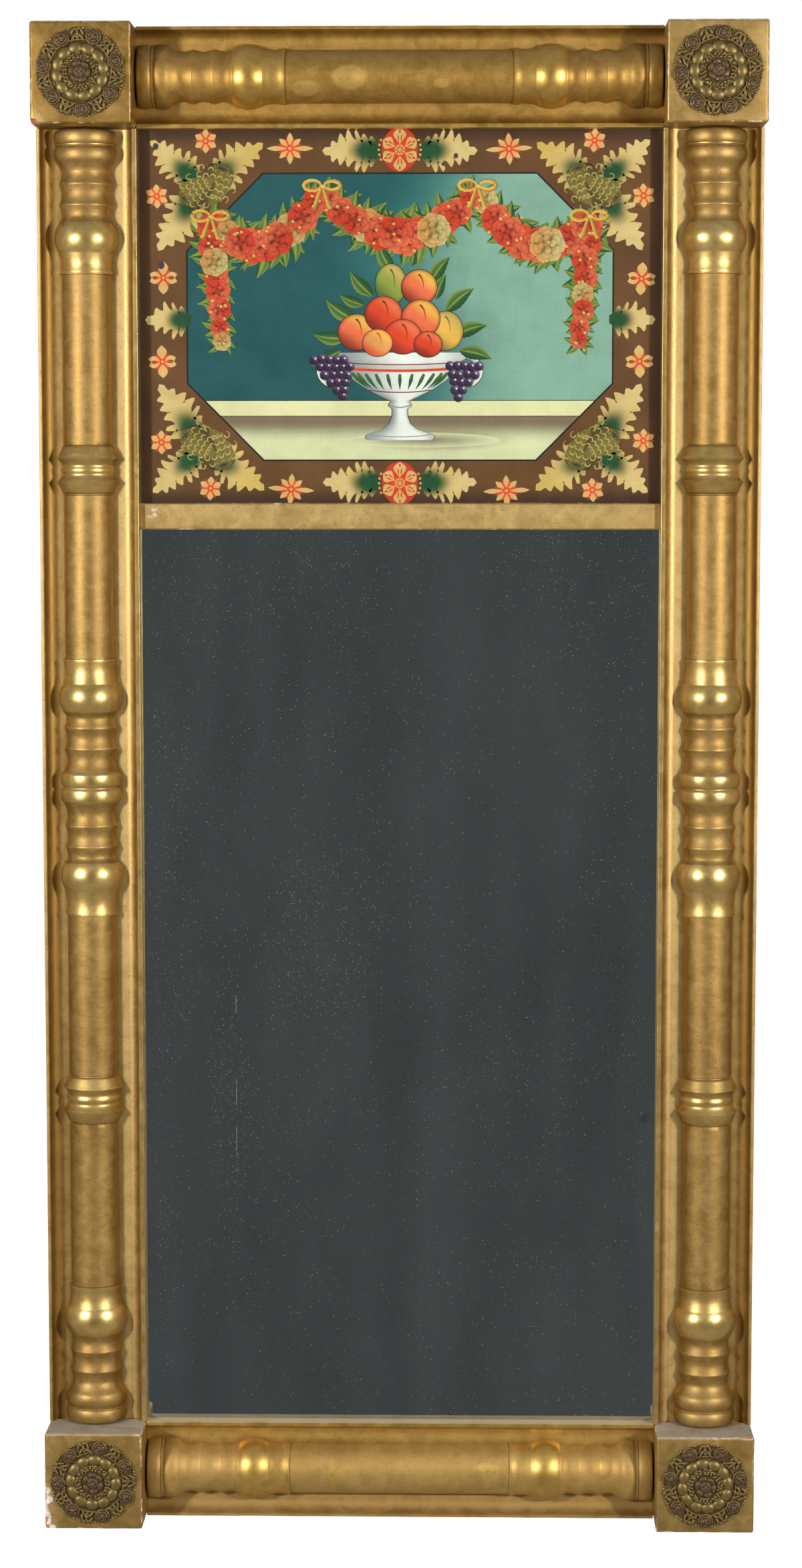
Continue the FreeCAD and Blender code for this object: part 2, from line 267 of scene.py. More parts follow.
def buildStage(s):
    camera = bpy.data.objects.new("camera", bpy.data.cameras.new("camera"))
    bpy.context.scene.collection.objects.link(camera)
    camera.location = s["cameraPlace"]
    camera.rotation_euler = (math.radians(90 + s["pitch"]), 0, math.radians(s["yaw"]))
    camera.data.sensor_fit = "VERTICAL"
    camera.data.sensor_height = s["sensor"]
    camera.data.lens = s["focalPixels"] / s["imageSize"][1] * s["sensor"]
    bpy.context.scene.camera = camera

    for side in (-1, 1):
        lamp = bpy.data.objects.new("softLamp", bpy.data.lights.new("softLamp", "AREA"))
        bpy.context.scene.collection.objects.link(lamp)
        turn = math.radians(s["lampAzimuth"]) * side
        lamp.location = (s["lampDistance"] * math.sin(turn), -s["lampDistance"] * math.cos(turn),
                         s["lampLevel"])
        lamp.rotation_euler = (Vector(s["lampAim"]) - lamp.location).to_track_quat("-Z", "Y").to_euler()
        lamp.data.shape = "DISK"
        lamp.data.size = s["lampSize"]
        lamp.data.energy = s["lampPower"]
        lamp.data.color = s["lampColour"]

    clearSelection()
    bpy.ops.mesh.primitive_plane_add(size=s["floorSize"], location=(0, 0, s["floorLevel"]))
    floor = bpy.context.object
    floor.name = "floor"
    floor.visible_glossy = False
    material, tree, shader, coord = newMaterial("paleFloor")
    cloud = noise(tree, coord, 1.4)
    tree.links.new(ramp(tree, cloud, [(0.3, (0.93, 0.93, 0.93)), (0.7, (0.96, 0.96, 0.96))]),
                   shader["Base Color"])
    shader["Roughness"].default_value = 0.9
    tree.links.new(ramp(tree, cloud, [(0.3, (0.98, 0.98, 0.98)), (0.7, (1, 1, 1))]), shader["Emission Color"])
    tree.links.new(node(tree, "LightPath").outputs["Is Camera Ray"], shader["Emission Strength"])
    floor.data.materials.append(material)

    world = bpy.data.worlds.new("studio")
    bpy.context.scene.world = world
    world.use_nodes = True
    tree = world.node_tree
    rays = node(tree, "LightPath").outputs
    way = node(tree, "SeparateXYZ", {0: node(tree, "TexCoord").outputs["Generated"]}).outputs
    # reflections see a pale table below, a paler ceiling, and a dark part of the room behind the camera
    level = calc(tree, "ADD", calc(tree, "MULTIPLY", way[2], 0.5), 0.5)
    seen = ramp(tree, level, [(0.15, (0.36, 0.325, 0.27)), (0.36, (0.29, 0.26, 0.21)),
                              (0.50, (0.24, 0.215, 0.18)), (0.66, (0.26, 0.25, 0.24)),
                              (0.9, (0.36, 0.365, 0.37))])
    aside = calc(tree, "SUBTRACT", way[0], math.sin(s["darkMiddle"][0]))
    above = calc(tree, "SUBTRACT", way[2], math.sin(s["darkMiddle"][1]))
    off = calc(tree, "SQRT", calc(tree, "ADD", calc(tree, "MULTIPLY", aside, aside),
                                  calc(tree, "MULTIPLY", above, above)))
    front = calc(tree, "LESS_THAN", way[1], 0.0)
    dark = calc(tree, "MULTIPLY", front, fade(tree, off, s["darkSpread"][0], s["darkSpread"][1], 1.0, 0.0))
    # faint upright bands of the room, as the old plate shows them
    bands = noise(tree, stretched(tree, node(tree, "CombineXYZ", {0: way[0], 2: way[2]}).outputs[0],
                                  (60, 1, 7)), 1.0, 2.0)
    dim = ramp(tree, bands, [(0.35, (0.078, 0.090, 0.094)), (0.5, (0.088, 0.096, 0.098)),
                             (0.65, (0.094, 0.106, 0.112))])
    seen = blend(tree, dark, seen, dim)
    fill = blend(tree, rays["Is Glossy Ray"], (s["fillLight"], s["fillLight"], s["fillLight"], 1), seen)
    white = (s["openWhite"], s["openWhite"], s["openWhite"], 1)
    tree.links.new(blend(tree, rays["Is Camera Ray"], fill, white), tree.nodes["Background"].inputs["Color"])
    bpy.context.scene.view_settings.view_transform = "Standard"
    print("stage set")


buildStage(stageSettings)


# Finishes that several pieces share
def buildGildingGroup():
    group, given, out = newGroup("agedGilding",
                                 [("Coord", "Vector"), ("Streak", "Vector"), ("Burnish", "Float"),
                                  ("Dust", "Float"), ("Powder", "Color"), ("ToningAndShade", "Float")],
                                 [("Colour", "Color"), ("Roughness", "Float"), ("Metallic", "Float"),
                                  ("Height", "Float")])
    coord = given["Coord"]
    clouds = noise(group, coord, 16.0, 3.0, 0.6)
    mottle = noise(group, coord, 85.0, 4.0, 0.62, 0.6)
    grain = noise(group, coord, 620.0, 3.0, 0.6)
    streaks = noise(group, given["Streak"], 1.0, 4.0, 0.6)
    tone = weighed(group, (clouds, 0.38), (mottle, 0.44), (streaks, 0.18))
    matt = ramp(group, tone, [(0.36, (0.50, 0.342, 0.132)), (0.50, (0.57, 0.40, 0.163)),
                              (0.64, (0.62, 0.448, 0.193))])
    bright = ramp(group, tone,
                  [(0.38, (0.56, 0.385, 0.125)), (0.52, (0.68, 0.485, 0.175)), (0.66, (0.77, 0.58, 0.245))])
    leaf = blend(group, given["Burnish"], matt, bright)
    wiped = fade(group, weighed(group, (streaks, 0.3), (mottle, 0.7)), 0.36, 0.64, 1.09, 0.86)
    # Toning multiplies the leaf towards brown: a brown glaze, and painted shade where the members' hollows, the
    # columns' feet and the columns' sides are darkened
    glazeAndShade = calc(group, "MULTIPLY", given["ToningAndShade"], wiped, True)
    leaf = blend(group, glazeAndShade, leaf, blend(group, 1.0, leaf, (0.46, 0.375, 0.205, 1), "MULTIPLY"))
    pits = fade(group, grain, 0.57, 0.70)
    pits = calc(group, "MULTIPLY", pits, between(group, given["Burnish"], 0.5, 0.08))
    leaf = blend(group, pits, leaf, (0.16, 0.09, 0.04, 1))
    powder = calc(group, "MULTIPLY", given["Dust"], fade(group, mottle, 0.25, 0.75, 0.55, 1.0), True)
    colour = blend(group, powder, leaf, given["Powder"])
    rough = between(group, given["Burnish"], 0.53, 0.32)
    rough = calc(group, "ADD", rough, calc(group, "MULTIPLY", calc(group, "SUBTRACT", mottle, 0.5), 0.25))
    rough = between(group, powder, rough, 0.74)
    group.links.new(colour, out["Colour"])
    group.links.new(rough, out["Roughness"])
    metal = between(group, given["Burnish"], 0.78, 0.95)
    group.links.new(calc(group, "MULTIPLY", metal, fade(group, powder, 0.0, 1.0, 1.0, 0.25)), out["Metallic"])
    rise = weighed(group, (grain, 0.40), (mottle, 0.50), (streaks, 0.10))
    group.links.new(calc(group, "MULTIPLY", rise, between(group, given["Burnish"], 1.0, 0.15)), out["Height"])
    return group


gilding = buildGildingGroup()


# grain: how fine the streaks are along each way, in waves per metre.
# dust: one amount, or where it starts and is full on faces turned upwards and how much it is there
def gildedMaterial(name, grain, burnish=0.0, toningAndShade=0.0, dust=0.0, paintedLimbShade=False, worn=None,
                   powder=(0.225, 0.150, 0.068), warmth=None, dustWhere=None):
    material, tree, shader, coord = newMaterial(name)
    shine = attribute(tree, burnish) if isinstance(burnish, str) else burnish
    glazeAndShade = attribute(tree, toningAndShade) if isinstance(toningAndShade, str) else toningAndShade
    # Painted shade on the columns' sides: faces turned away from the front lose their burnish and take more
    # toning, so the limbs go dark
    if paintedLimbShade:
        facing = calc(tree, "MULTIPLY", normalPart(tree, 1), -1.0)
        shine = calc(tree, "MULTIPLY", shine, fade(tree, facing, 0.05, 0.85, 0.0, 1.0))
        glazeAndShade = calc(tree, "ADD", glazeAndShade, fade(tree, facing, 0.05, 0.75, 0.9, 0.0))
    if isinstance(dust, tuple):
        dust = fade(tree, normalPart(tree, 2), dust[0], dust[1], 0.0, dust[2])
    if dustWhere:
        dust = calc(tree, "MULTIPLY", dust, attribute(tree, dustWhere))
    made = useGroup(tree, gilding, {"Coord": coord, "Streak": stretched(tree, coord, grain), "Burnish": shine,
                                    "Dust": dust, "Powder": (*powder, 1), "ToningAndShade": glazeAndShade})
    colour, metal = made["Colour"], made["Metallic"]
    if warmth:
        colour = blend(tree, 1.0, colour, (*warmth, 1), "MULTIPLY")
    if worn:
        # leaf rubbed through to pale gesso and, here and there, to red clay
        patchy = noise(tree, coord, 130.0, 4.0, 0.65)
        rubbed = fade(tree, calc(tree, "ADD", calc(tree, "MULTIPLY", attribute(tree, worn), 0.62), patchy),
                      0.92, 1.06)
        under = ramp(tree, noise(tree, coord, 75.0, 3.0),
                     [(0.42, (0.60, 0.50, 0.38)), (0.52, (0.66, 0.52, 0.42)), (0.60, (0.40, 0.17, 0.085))])
        colour = blend(tree, rubbed, colour, under)
        metal = calc(tree, "MULTIPLY", metal, calc(tree, "SUBTRACT", 1.0, rubbed))
    tree.links.new(colour, shader["Base Color"])
    tree.links.new(made["Roughness"], shader["Roughness"])
    tree.links.new(metal, shader["Metallic"])
    setBump(tree, shader, made["Height"], 0.55, 0.0004)
    return material


crossWarmth = (1.0, 0.92, 0.66)
turnedUpright = gildedMaterial("turnedUpright", (110, 110, 330), burnish="burnish", toningAndShade="toningAndShade",
                               paintedLimbShade=True)
turnedCross = gildedMaterial("turnedCross", (330, 110, 110), burnish="burnish", toningAndShade="toningAndShade",
                             dust=(0.05, 0.8, 0.75), warmth=crossWarmth)
# dust lying over the lower column, and over the moulding under it
turnedLower = gildedMaterial("turnedLower", (330, 110, 110), burnish="burnish", toningAndShade="toningAndShade",
                             warmth=crossWarmth, dust=1.2, dustWhere="toningAndShade", powder=(0.33, 0.235, 0.125))
dustyGilding = gildedMaterial("dustyGilding", (12, 300, 300), burnish="burnish", toningAndShade="toningAndShade",
                              warmth=crossWarmth, dust=0.65, powder=(0.28, 0.195, 0.10))
stileGilding = gildedMaterial("stileGilding", (300, 300, 12), burnish="burnish", toningAndShade="toningAndShade")
railGilding = gildedMaterial("railGilding", (12, 300, 300), burnish="burnish", toningAndShade="toningAndShade",
                             warmth=crossWarmth, dust=(0.6, 0.95, 1.0), powder=(0.44, 0.42, 0.44),
                             dustWhere="dusty")


# Values for every point of a piece, worked out from its place in millimetres
def paintPoints(piece, name, value):
    layer = piece.data.attributes.get(name) or piece.data.attributes.new(name, "FLOAT", "POINT")
    for vertex, spot in zip(piece.data.vertices, layer.data):
        spot.value = value(vertex.co / mm)


def throughStops(place, stops):
    if place <= stops[0][0]:
        return stops[0][1]
    for (a, low), (b, high) in zip(stops, stops[1:]):
        if place <= b:
            return low + (high - low) * (place - a) / (b - a)
    return stops[-1][1]


# Turned half columns: a profile of (place along the axis, radius, burnish), drawn as a pen moves
columnSettings = {
    "steps": 56,
    "bedHeight": 14.5,
    "sampleLength": 0.9,
    "shaftSample": 2.2,
    "ridge": (17.95, 16.6, 0.6),   # radius of crest and hollow, half length of the crest
    "smooth": 38,
    "uprightShaft": 17.0,
    "crossShaft": 17.8,
    "capitalPivot": 369.0,
    "crossPivot": 101.0,
    "crossStretch": 1.034,
    "uprightEnd": 440.0,
    "crossEnd": 174.5,
    "uprightAxis": 210.5,
    "crossLevels": {"top": 950.0, "bottom": -1.0},
    "middleLevel": 474.5,
    "unevenness": 0.00028,
    # a split turning is a little less than half: its axis lies this far under the bed
    "sunk": 2.0,
    # toning on each cross column; the bottom one is toned less, painted lighter to make up for the lamps'
    # fall-off
    "crossToningAndShade": {"top": 0.72, "bottom": 0.32},
    "crossBurnish": 0.72,
    "shaftToning": 0.8,
    # rubbed patches: how they fade at their edge, then middle, half width and half height
    "rubbedEdge": [(0.85, 1.0), (1.1, 0.0)],
    "rubbed": {"top": [(-33.0, 948.0, 11.5, 8.0), (-62.0, 941.0, 9.0, 5.0), (28.0, 944.0, 5.0, 3.0)],
               "bottom": [(-46.0, -3.0, 3.2, 12.0), (-38.0, 2.0, 5.0, 3.0), (60.0, 3.0, 9.0, 4.0),
                          (-88.0, -14.0, 9.0, 4.0)]},
}


def drawTo(points, place, radius, shape="line", burnish=0.0, bulge=0.0, fullness=1.0, sample=None):
    start, startRadius, _ = points[-1]
    length = abs(place - start)
    count = max(1, round(length / (sample or columnSettings["sampleLength"])))
    if shape == "line" and sample is None:
        count = 1
    for i in range(1, count + 1):
        t = i / count
        lift = {"settle": math.sin(t * math.pi / 2), "rise": 1 - math.cos(t * math.pi / 2)}.get(shape, t)
        r = startRadius + (radius - startRadius) * lift
        if shape == "swell":
            r += bulge * math.sin(t * math.pi) ** fullness if t < 1 else 0
        points.append((start + (place - start) * t, r, burnish))


# One ridge and the hollow after it, with a narrow rounded crest
def drawRidge(points, crest, valley):
    top, bottom, half = columnSettings["ridge"]
    way = half if valley > crest else -half
    drawTo(points, crest - way, top, "rise")
    drawTo(points, crest + way, top, "swell", 0.25, 0.16, sample=0.3)
    drawTo(points, valley, bottom, "settle")


def middleProfile():
    points = [(0.0, 19.2, 0.6)]
    drawTo(points, 0.45, 19.3, burnish=0.6)
    drawTo(points, 10.3, 19.4, "swell", 1.0, 1.5, 0.32)
    drawTo(points, 10.7, 19.0, burnish=0.3)
    drawTo(points, 19.0, 16.6, "settle")
    for crest, valley in ((26.3, 33.6), (40.5, 47.3)):
        drawRidge(points, crest, valley)
    drawTo(points, 51.2, 18.7, "rise")
    drawTo(points, 70.2, 18.7, "swell", 1.0, 2.8, 0.8)
    drawTo(points, 80.0, 17.5, "settle", 0.6)
    drawTo(points, 86.0, 18.1, "rise", 0.55)
    drawTo(points, 87.2, 18.1, "swell", 1.0, 0.2)
    drawTo(points, 87.5, 17.0)
    return points


def spoolProfile(points, shaft):
    drawTo(points, 197.5, shaft, sample=columnSettings["shaftSample"])
    drawTo(points, 198.0, shaft - 0.45)
    drawTo(points, 198.7, shaft - 0.35)
    drawTo(points, 199.1, shaft + 0.35)
    drawTo(points, 205.9, 20.5, "line", 0.55, sample=1.4)
    drawTo(points, 207.4, 20.3, "swell", 1.0, 0.5)
    drawTo(points, 211.9, 17.9, "settle", 0.6)
    drawTo(points, 217.1, 17.9, "swell", 0.8, 0.65)
    drawTo(points, 221.6, 20.3, "rise", 0.6)
    drawTo(points, 223.1, 20.5, "swell", 1.0, 0.5)
    drawTo(points, 230.6, shaft + 0.35, "line", 0.55, sample=1.4)
    drawTo(points, 231.1, shaft - 0.4)
    drawTo(points, 231.6, shaft)


def capitalProfile(points, shaft, pivot, stretch, end):
    def at(place):
        return pivot + (place - columnSettings["capitalPivot"]) * stretch

    drawTo(points, at(344.6), shaft, sample=columnSettings["shaftSample"])
    drawTo(points, at(344.9), shaft + 1.0)
    drawTo(points, at(346.2), shaft + 1.0, "swell", 1.0, 0.2)
    drawTo(points, at(351.0), 17.95 if shaft > 17.5 else 17.5, "settle", 0.55)
    drawTo(points, at(359.6), 18.9, "rise", 0.6)
    drawTo(points, at(378.4), 18.7, "swell", 1.0, 2.8, 0.8)
    drawTo(points, at(384.0), 16.6, "settle")
    for crest, valley in ((390.7, 397.5), (404.5, 411.5)):
        drawRidge(points, at(crest), at(valley))
    drawTo(points, at(419.8), 20.4, "rise", 0.1)
    drawTo(points, at(428.6), 20.6, "swell", 0.1, 1.0, 0.7)
    drawTo(points, at(429.0), 20.3)
    drawTo(points, at(429.5), 20.3)
    drawTo(points, at(429.9), 20.8, burnish=0.5)
    drawTo(points, at(430.6), 20.8, "swell", 0.5, 0.12)
    drawTo(points, at(430.9), 20.3)
    drawTo(points, end - 0.3, 20.2, "swell", 0.15, 1.1, 0.6)
    drawTo(points, end, 19.6)


def mirrored(points):
    return [(-place, radius, burnish) for place, radius, burnish in reversed(points) if place > 0] + points


def turnHalf(name, points, s):
    outline = [(points[0][0], 0.0)] + [(place, radius) for place, radius, _ in points] + [(points[-1][0], 0.0)]
    piece = penLine(name, [Vector((radius * mm, 0, place * mm)) for place, radius in outline])

    def spinHalf():
        bpy.ops.mesh.spin(steps=s["steps"], angle=math.pi, center=(0, 0, 0), axis=(0, 0, -1))

    def closeRim():
        bpy.ops.mesh.select_all(action="DESELECT")
        bpy.ops.mesh.select_non_manifold()
        bpy.ops.mesh.edge_face_add()

    def cutFlat():
        bpy.ops.mesh.bisect(plane_co=(0, 0, 0), plane_no=(0, 1, 0), use_fill=True, clear_outer=True)

    editWhole(piece, spinHalf, lambda: bpy.ops.mesh.remove_doubles(threshold=1e-6), closeRim, faceOutwards)
    depths = [vertex.co.y for vertex in piece.data.vertices]
    if max(depths) > -min(depths):
        placeMesh(piece, Matrix.Scale(-1, 4, (0, 1, 0)))
    placeMesh(piece, Matrix.Translation((0, s["sunk"] * mm, 0)))
    editWhole(piece, cutFlat)
    places = [p for p, _, _ in points]
    paintPoints(piece, "burnish", lambda place: burnishAt(points, places, place.z))
    paintPoints(piece, "toningAndShade", lambda place: s["shaftToning"] * (1 - burnishAt(points, places, place.z)))
    return piece


def burnishAt(points, places, place):
    low, high = 0, len(places) - 1
    while high - low > 1:
        middle = (low + high) // 2
        if places[middle] <= place:
            low = middle
        else:
            high = middle
    return points[low if place - places[low] < places[high] - place else high][2]


columnProfiles = {}
unevenTexture = bpy.data.textures.new("unevenGesso", "CLOUDS")
unevenTexture.noise_scale = 0.022
unevenTexture.noise_depth = 2


def buildColumns(s):
    uprightPoints = middleProfile()
    spoolProfile(uprightPoints, s["uprightShaft"])
    capitalProfile(uprightPoints, s["uprightShaft"], s["capitalPivot"], 1.0, s["uprightEnd"])
    crossPoints = [(0.0, s["crossShaft"], 0.0)]
    capitalProfile(crossPoints, s["crossShaft"], s["crossPivot"], s["crossStretch"], s["crossEnd"])
    columnProfiles["upright"] = [(place, radius) for place, radius, _ in mirrored(uprightPoints)]
    columnProfiles["cross"] = [(place, radius) for place, radius, _ in mirrored(crossPoints)]
    crossMirrored = mirrored(crossPoints)
    crossPlaces = [place for place, _, _ in crossMirrored]
    upright = turnHalf("turnedUpright", mirrored(uprightPoints), s)
    cross = turnHalf("turnedCross", mirrored(crossPoints), s)
    quarter = Matrix.Rotation(math.radians(90), 4, "Y")
    for side, sign in (("left", -1), ("right", 1)):
        piece = copyPiece(upright, side + "Column")
        placeMesh(piece, Matrix.Translation((sign * s["uprightAxis"] * mm, -s["bedHeight"] * mm,
                                             s["middleLevel"] * mm)))
        finishColumn(piece, side + "_column", turnedUpright, s)
    for level, height in s["crossLevels"].items():
        piece = copyPiece(cross, level + "Column")
        placeMesh(piece, Matrix.Translation((0, -s["bedHeight"] * mm, height * mm)) @ quarter)

        def rubbedAt(place):
            near = min(math.hypot((place.x - x) / wide, (place.z - z) / high)
                       for x, z, wide, high in s["rubbed"][level])
            return throughStops(near, s["rubbedEdge"])

        def shineAt(place):
            return burnishAt(crossMirrored, crossPlaces, place.x)

        # toning of a cross column, less where burnished or rubbed, with painted light and shade between top and
        # bottom
        def crossToningAndShade(place):
            return s["crossToningAndShade"][level] * (1 - 0.6 * shineAt(place)) * (1 - rubbedAt(place))

        def crossShine(place):
            return max(0.35 * rubbedAt(place), s["crossBurnish"] * shineAt(place))

        paintPoints(piece, "toningAndShade", crossToningAndShade)
        paintPoints(piece, "burnish", crossShine)
        finishColumn(piece, level + "_column", turnedCross if level == "top" else turnedLower, s)
    for spare in (upright, cross):
        bpy.data.objects.remove(spare)
    print("columns turned")


def finishColumn(piece, nodeName, material, s):
    applyModifier(piece, "DISPLACE", texture=unevenTexture, strength=s["unevenness"], texture_coords="GLOBAL")
    smoothBy(piece, s["smooth"])
    dress(piece, [nodeName], [material])


buildColumns(columnSettings)

# Moulded stiles and rails: one outline of (across from the outer edge, height), run along and notched
memberSettings = {
    "width": 67.0,
    "thickness": 22.0,
    "bed": 14.5,
    "sightFillet": 3.2,
    "outerFillet": 2.6,
    "arris": 0.5,
    "arcSteps": 9,
    "lap": 7.25,
    "recessHalf": 182.5,
    "recessLevels": (26.5, 922.5),
    "recessDepth": 12.0,
    "stileLength": 882.0,
    "railLength": 351.0,
    "halfWidth": 242.5,
    "middleLevel": 474.5,
    "halfHeight": 508.0,
    "step": 3.0,
    "bedSteps": 22,
    "unevenness": 0.0003,
    "wellHalf": 17.0,
    "wellLevels": (926.5, 976.5),
    "wellDepth": 5.8,
    "hair": 0.02,
    "margin": 0.5,
    "smooth": 34,
    "dusty": [(64.0, 0.0), (66.0, 1.0)],
    # brown toning, deepened by painted shade in the hollows, and burnish across the moulding from the outer
    # edge, and the painted shade round the columns' feet
    "toningAndShade": {
        "stile": [(0.0, 0.3), (0.5, 0.3), (1.3, 1.0), (2.1, 0.7), (2.6, 0.4), (3.3, 1.7), (6.0, 1.6),
                  (9.0, 1.3), (12.0, 0.6), (46.0, 0.3), (50.0, 0.0), (56.0, 0.05), (59.5, 0.4), (63.0, 1.0),
                  (63.7, 0.6), (64.2, 0.0), (65.0, 0.25), (66.0, 0.4), (67.0, 0.0)],
        "rail": [(0.0, 0.6), (0.5, 0.7), (1.3, 1.1), (2.1, 1.0), (2.6, 0.7), (3.3, 1.2), (6.0, 0.95),
                 (9.0, 0.75), (56.0, 0.75), (59.5, 0.85), (62.5, 1.1), (63.7, 0.8), (64.2, 0.3), (65.0, 0.5),
                 (67.0, 0.1)],
    },
    "burnish": [(0.0, 0.6), (0.5, 0.5), (0.9, 0.1), (2.2, 0.1), (2.5, 0.6), (3.0, 0.1), (63.4, 0.1),
                (64.0, 0.8), (64.8, 0.5), (65.6, 0.2), (66.4, 0.7), (67.0, 0.7)],
    # share of the toning and painted shade outside and inside the column
    "toningAndShadeShare": {"left_stile": (1.0, 1.0), "right_stile": (0.9, 0.9), "top_rail": (0.8, 0.85),
                    "bottom_rail": (0.75, 0.12)},
    # painted shadow of the columns on the bed round their feet, and how far it reaches
    "footShade": 0.75,
    "footShadeReach": 5.0,
}


def arcPoints(centre, radius, start, end, count):
    turns = [math.radians(start + (end - start) * i / count) for i in range(count + 1)]
    return [(centre[0] + radius * math.cos(t), centre[1] + radius * math.sin(t)) for t in turns]


def memberOutline(s):
    top, ease, hollow = s["thickness"], s["arris"], s["thickness"] - s["bed"]
    outer = s["outerFillet"] + hollow
    inner = s["width"] - s["sightFillet"] - hollow
    points = [(0, 0)]
    points += arcPoints((ease, top - ease), ease, 180, 90, 4)
    points += [(s["outerFillet"] - 0.3, top)]
    points += arcPoints((outer, top), hollow, 184, 270, s["arcSteps"])
    count = s["bedSteps"]
    points += [(outer + (inner - outer) * i / count, s["bed"]) for i in range(1, count)]
    points += arcPoints((inner, top), hollow, 270, 356, s["arcSteps"])
    points += [(s["width"] - s["sightFillet"] + 0.3, top)]
    points += arcPoints((s["width"] - ease, top - ease), ease, 90, 0, 4)
    return points + [(s["width"], 0)]


# A closed outline drawn point by point, filled and run along Z about the origin
def runAlong(name, outline, length, step):
    piece = penLine(name, [Vector((across * mm, -height * mm, -length / 2 * mm)) for across, height in outline])

    def extrudeLength():
        bpy.ops.mesh.extrude_region_move(TRANSFORM_OT_translate={"value": (0, 0, length * mm)})

    def cutAcross():
        bpy.ops.mesh.select_mode(type="EDGE")
        bpy.ops.mesh.select_all(action="DESELECT")
        mesh = bmesh.from_edit_mesh(piece.data)
        for edge in mesh.edges:
            way = edge.verts[0].co - edge.verts[1].co
            edge.select = abs(way.z) > length * mm / 2
        bmesh.update_edit_mesh(piece.data)
        bpy.ops.mesh.subdivide(number_cuts=max(1, round(length / step) - 1))
        bpy.ops.mesh.select_mode(type="VERT")

    editWhole(piece, bpy.ops.mesh.edge_face_add, extrudeLength, cutAcross, faceOutwards)
    return piece


# A box between two corners in millimetres of (x, height above the back, z)
def boxBetween(name, low, high):
    clearSelection()
    bpy.ops.mesh.primitive_cube_add(size=1, location=(0, 0, 0))
    piece = bpy.context.object
    piece.name = name
    bpy.ops.object.mode_set(mode="EDIT")
    bpy.ops.transform.resize(value=[(b - a) * mm for a, b in zip(low, high)])
    middle = [(a + b) / 2 * mm for a, b in zip(low, high)]
    bpy.ops.transform.translate(value=(middle[0], -middle[1], middle[2]))
    bpy.ops.object.mode_set(mode="OBJECT")
    return piece


def combine(piece, other, operation):
    applyModifier(piece, "BOOLEAN", object=other, operation=operation, solver="EXACT", material_mode="TRANSFER")
    bpy.data.objects.remove(other)


def bevelEdges(piece, width, segments, angle=40):
    applyModifier(piece, "BEVEL", width=width * mm, segments=segments, limit_method="ANGLE",
                  angle_limit=math.radians(angle))


# Uneven gesso or planing, only at the points chosen
def wavy(piece, strength, chosen):
    group = piece.vertex_groups.new(name="uneven")
    group.add([v.index for v in piece.data.vertices if chosen(v.co)], 1.0, "ADD")
    applyModifier(piece, "DISPLACE", texture=unevenTexture, strength=strength, texture_coords="GLOBAL",
                  vertex_group="uneven", mid_level=1.0)
    piece.vertex_groups.clear()


def higherThan(height):
    return lambda co: -co.y > height * mm


def sortFaces(piece, choose):
    for face in piece.data.polygons:
        face.material_index = choose(face.center / mm, face.normal)


def buildMembers(s):
    outline = memberOutline(s)
    width, lap, edge, hair = s["width"], s["lap"], s["halfWidth"], s["hair"]
    low, high = s["recessLevels"]
    toTop = s["middleLevel"] + s["halfHeight"]

    def recess():
        return boxBetween("recess", (-s["recessHalf"], -1, low), (s["recessHalf"], s["recessDepth"], high))

    for side, sign in (("left", -1), ("right", 1)):
        piece = runAlong(side + "Stile", outline, s["stileLength"], s["step"])
        placeMesh(piece, Matrix.Translation((-edge * mm, 0, s["middleLevel"] * mm)))
        if sign > 0:
            placeMesh(piece, Matrix.Scale(-1, 4, (1, 0, 0)))
        wavy(piece, s["unevenness"], higherThan(s["bed"] - 1))
        for level in (-1, 1):
            near = s["middleLevel"] + level * (s["stileLength"] / 2 - 1)
            far = s["middleLevel"] + level * s["halfHeight"]
            span = sorted((near, far))
            sides = sorted((sign * (edge - hair), sign * (edge - width + hair)))
            combine(piece, boxBetween("lap", (sides[0], hair, span[0]), (sides[1], lap, span[1])), "UNION")
        combine(piece, recess(), "DIFFERENCE")
        finishMember(piece, side + "_stile")
    for level, sign in (("top", 1), ("bottom", -1)):
        piece = runAlong(level + "Rail", outline, s["railLength"], s["step"])
        placeMesh(piece, Matrix.Translation((0, 0, toTop * mm)) @ Matrix.Rotation(math.radians(90), 4, "Y"))
        if sign < 0:
            flip = Matrix.Translation((0, 0, 2 * s["middleLevel"] * mm)) @ Matrix.Scale(-1, 4, (0, 0, 1))
            placeMesh(piece, flip)
        wavy(piece, s["unevenness"], higherThan(s["bed"] - 1))
        for side in (-1, 1):
            span = sorted((side * (s["railLength"] / 2 - 1), side * edge))
            levels = sorted(s["middleLevel"] + sign * (s["halfHeight"] - drop) for drop in (hair, width - hair))
            top = s["bed"] - s["unevenness"] / mm - hair
            combine(piece, boxBetween("lap", (span[0], lap, levels[0]), (span[1], top, levels[1])), "UNION")
        combine(piece, recess(), "DIFFERENCE")
        if sign > 0:
            well = boxBetween("well", (-s["wellHalf"], -1, s["wellLevels"][0]),
                              (s["wellHalf"], s["wellDepth"], s["wellLevels"][1]))
            combine(piece, well, "DIFFERENCE")
        finishMember(piece, level + "_rail")
    print("stiles and rails run")


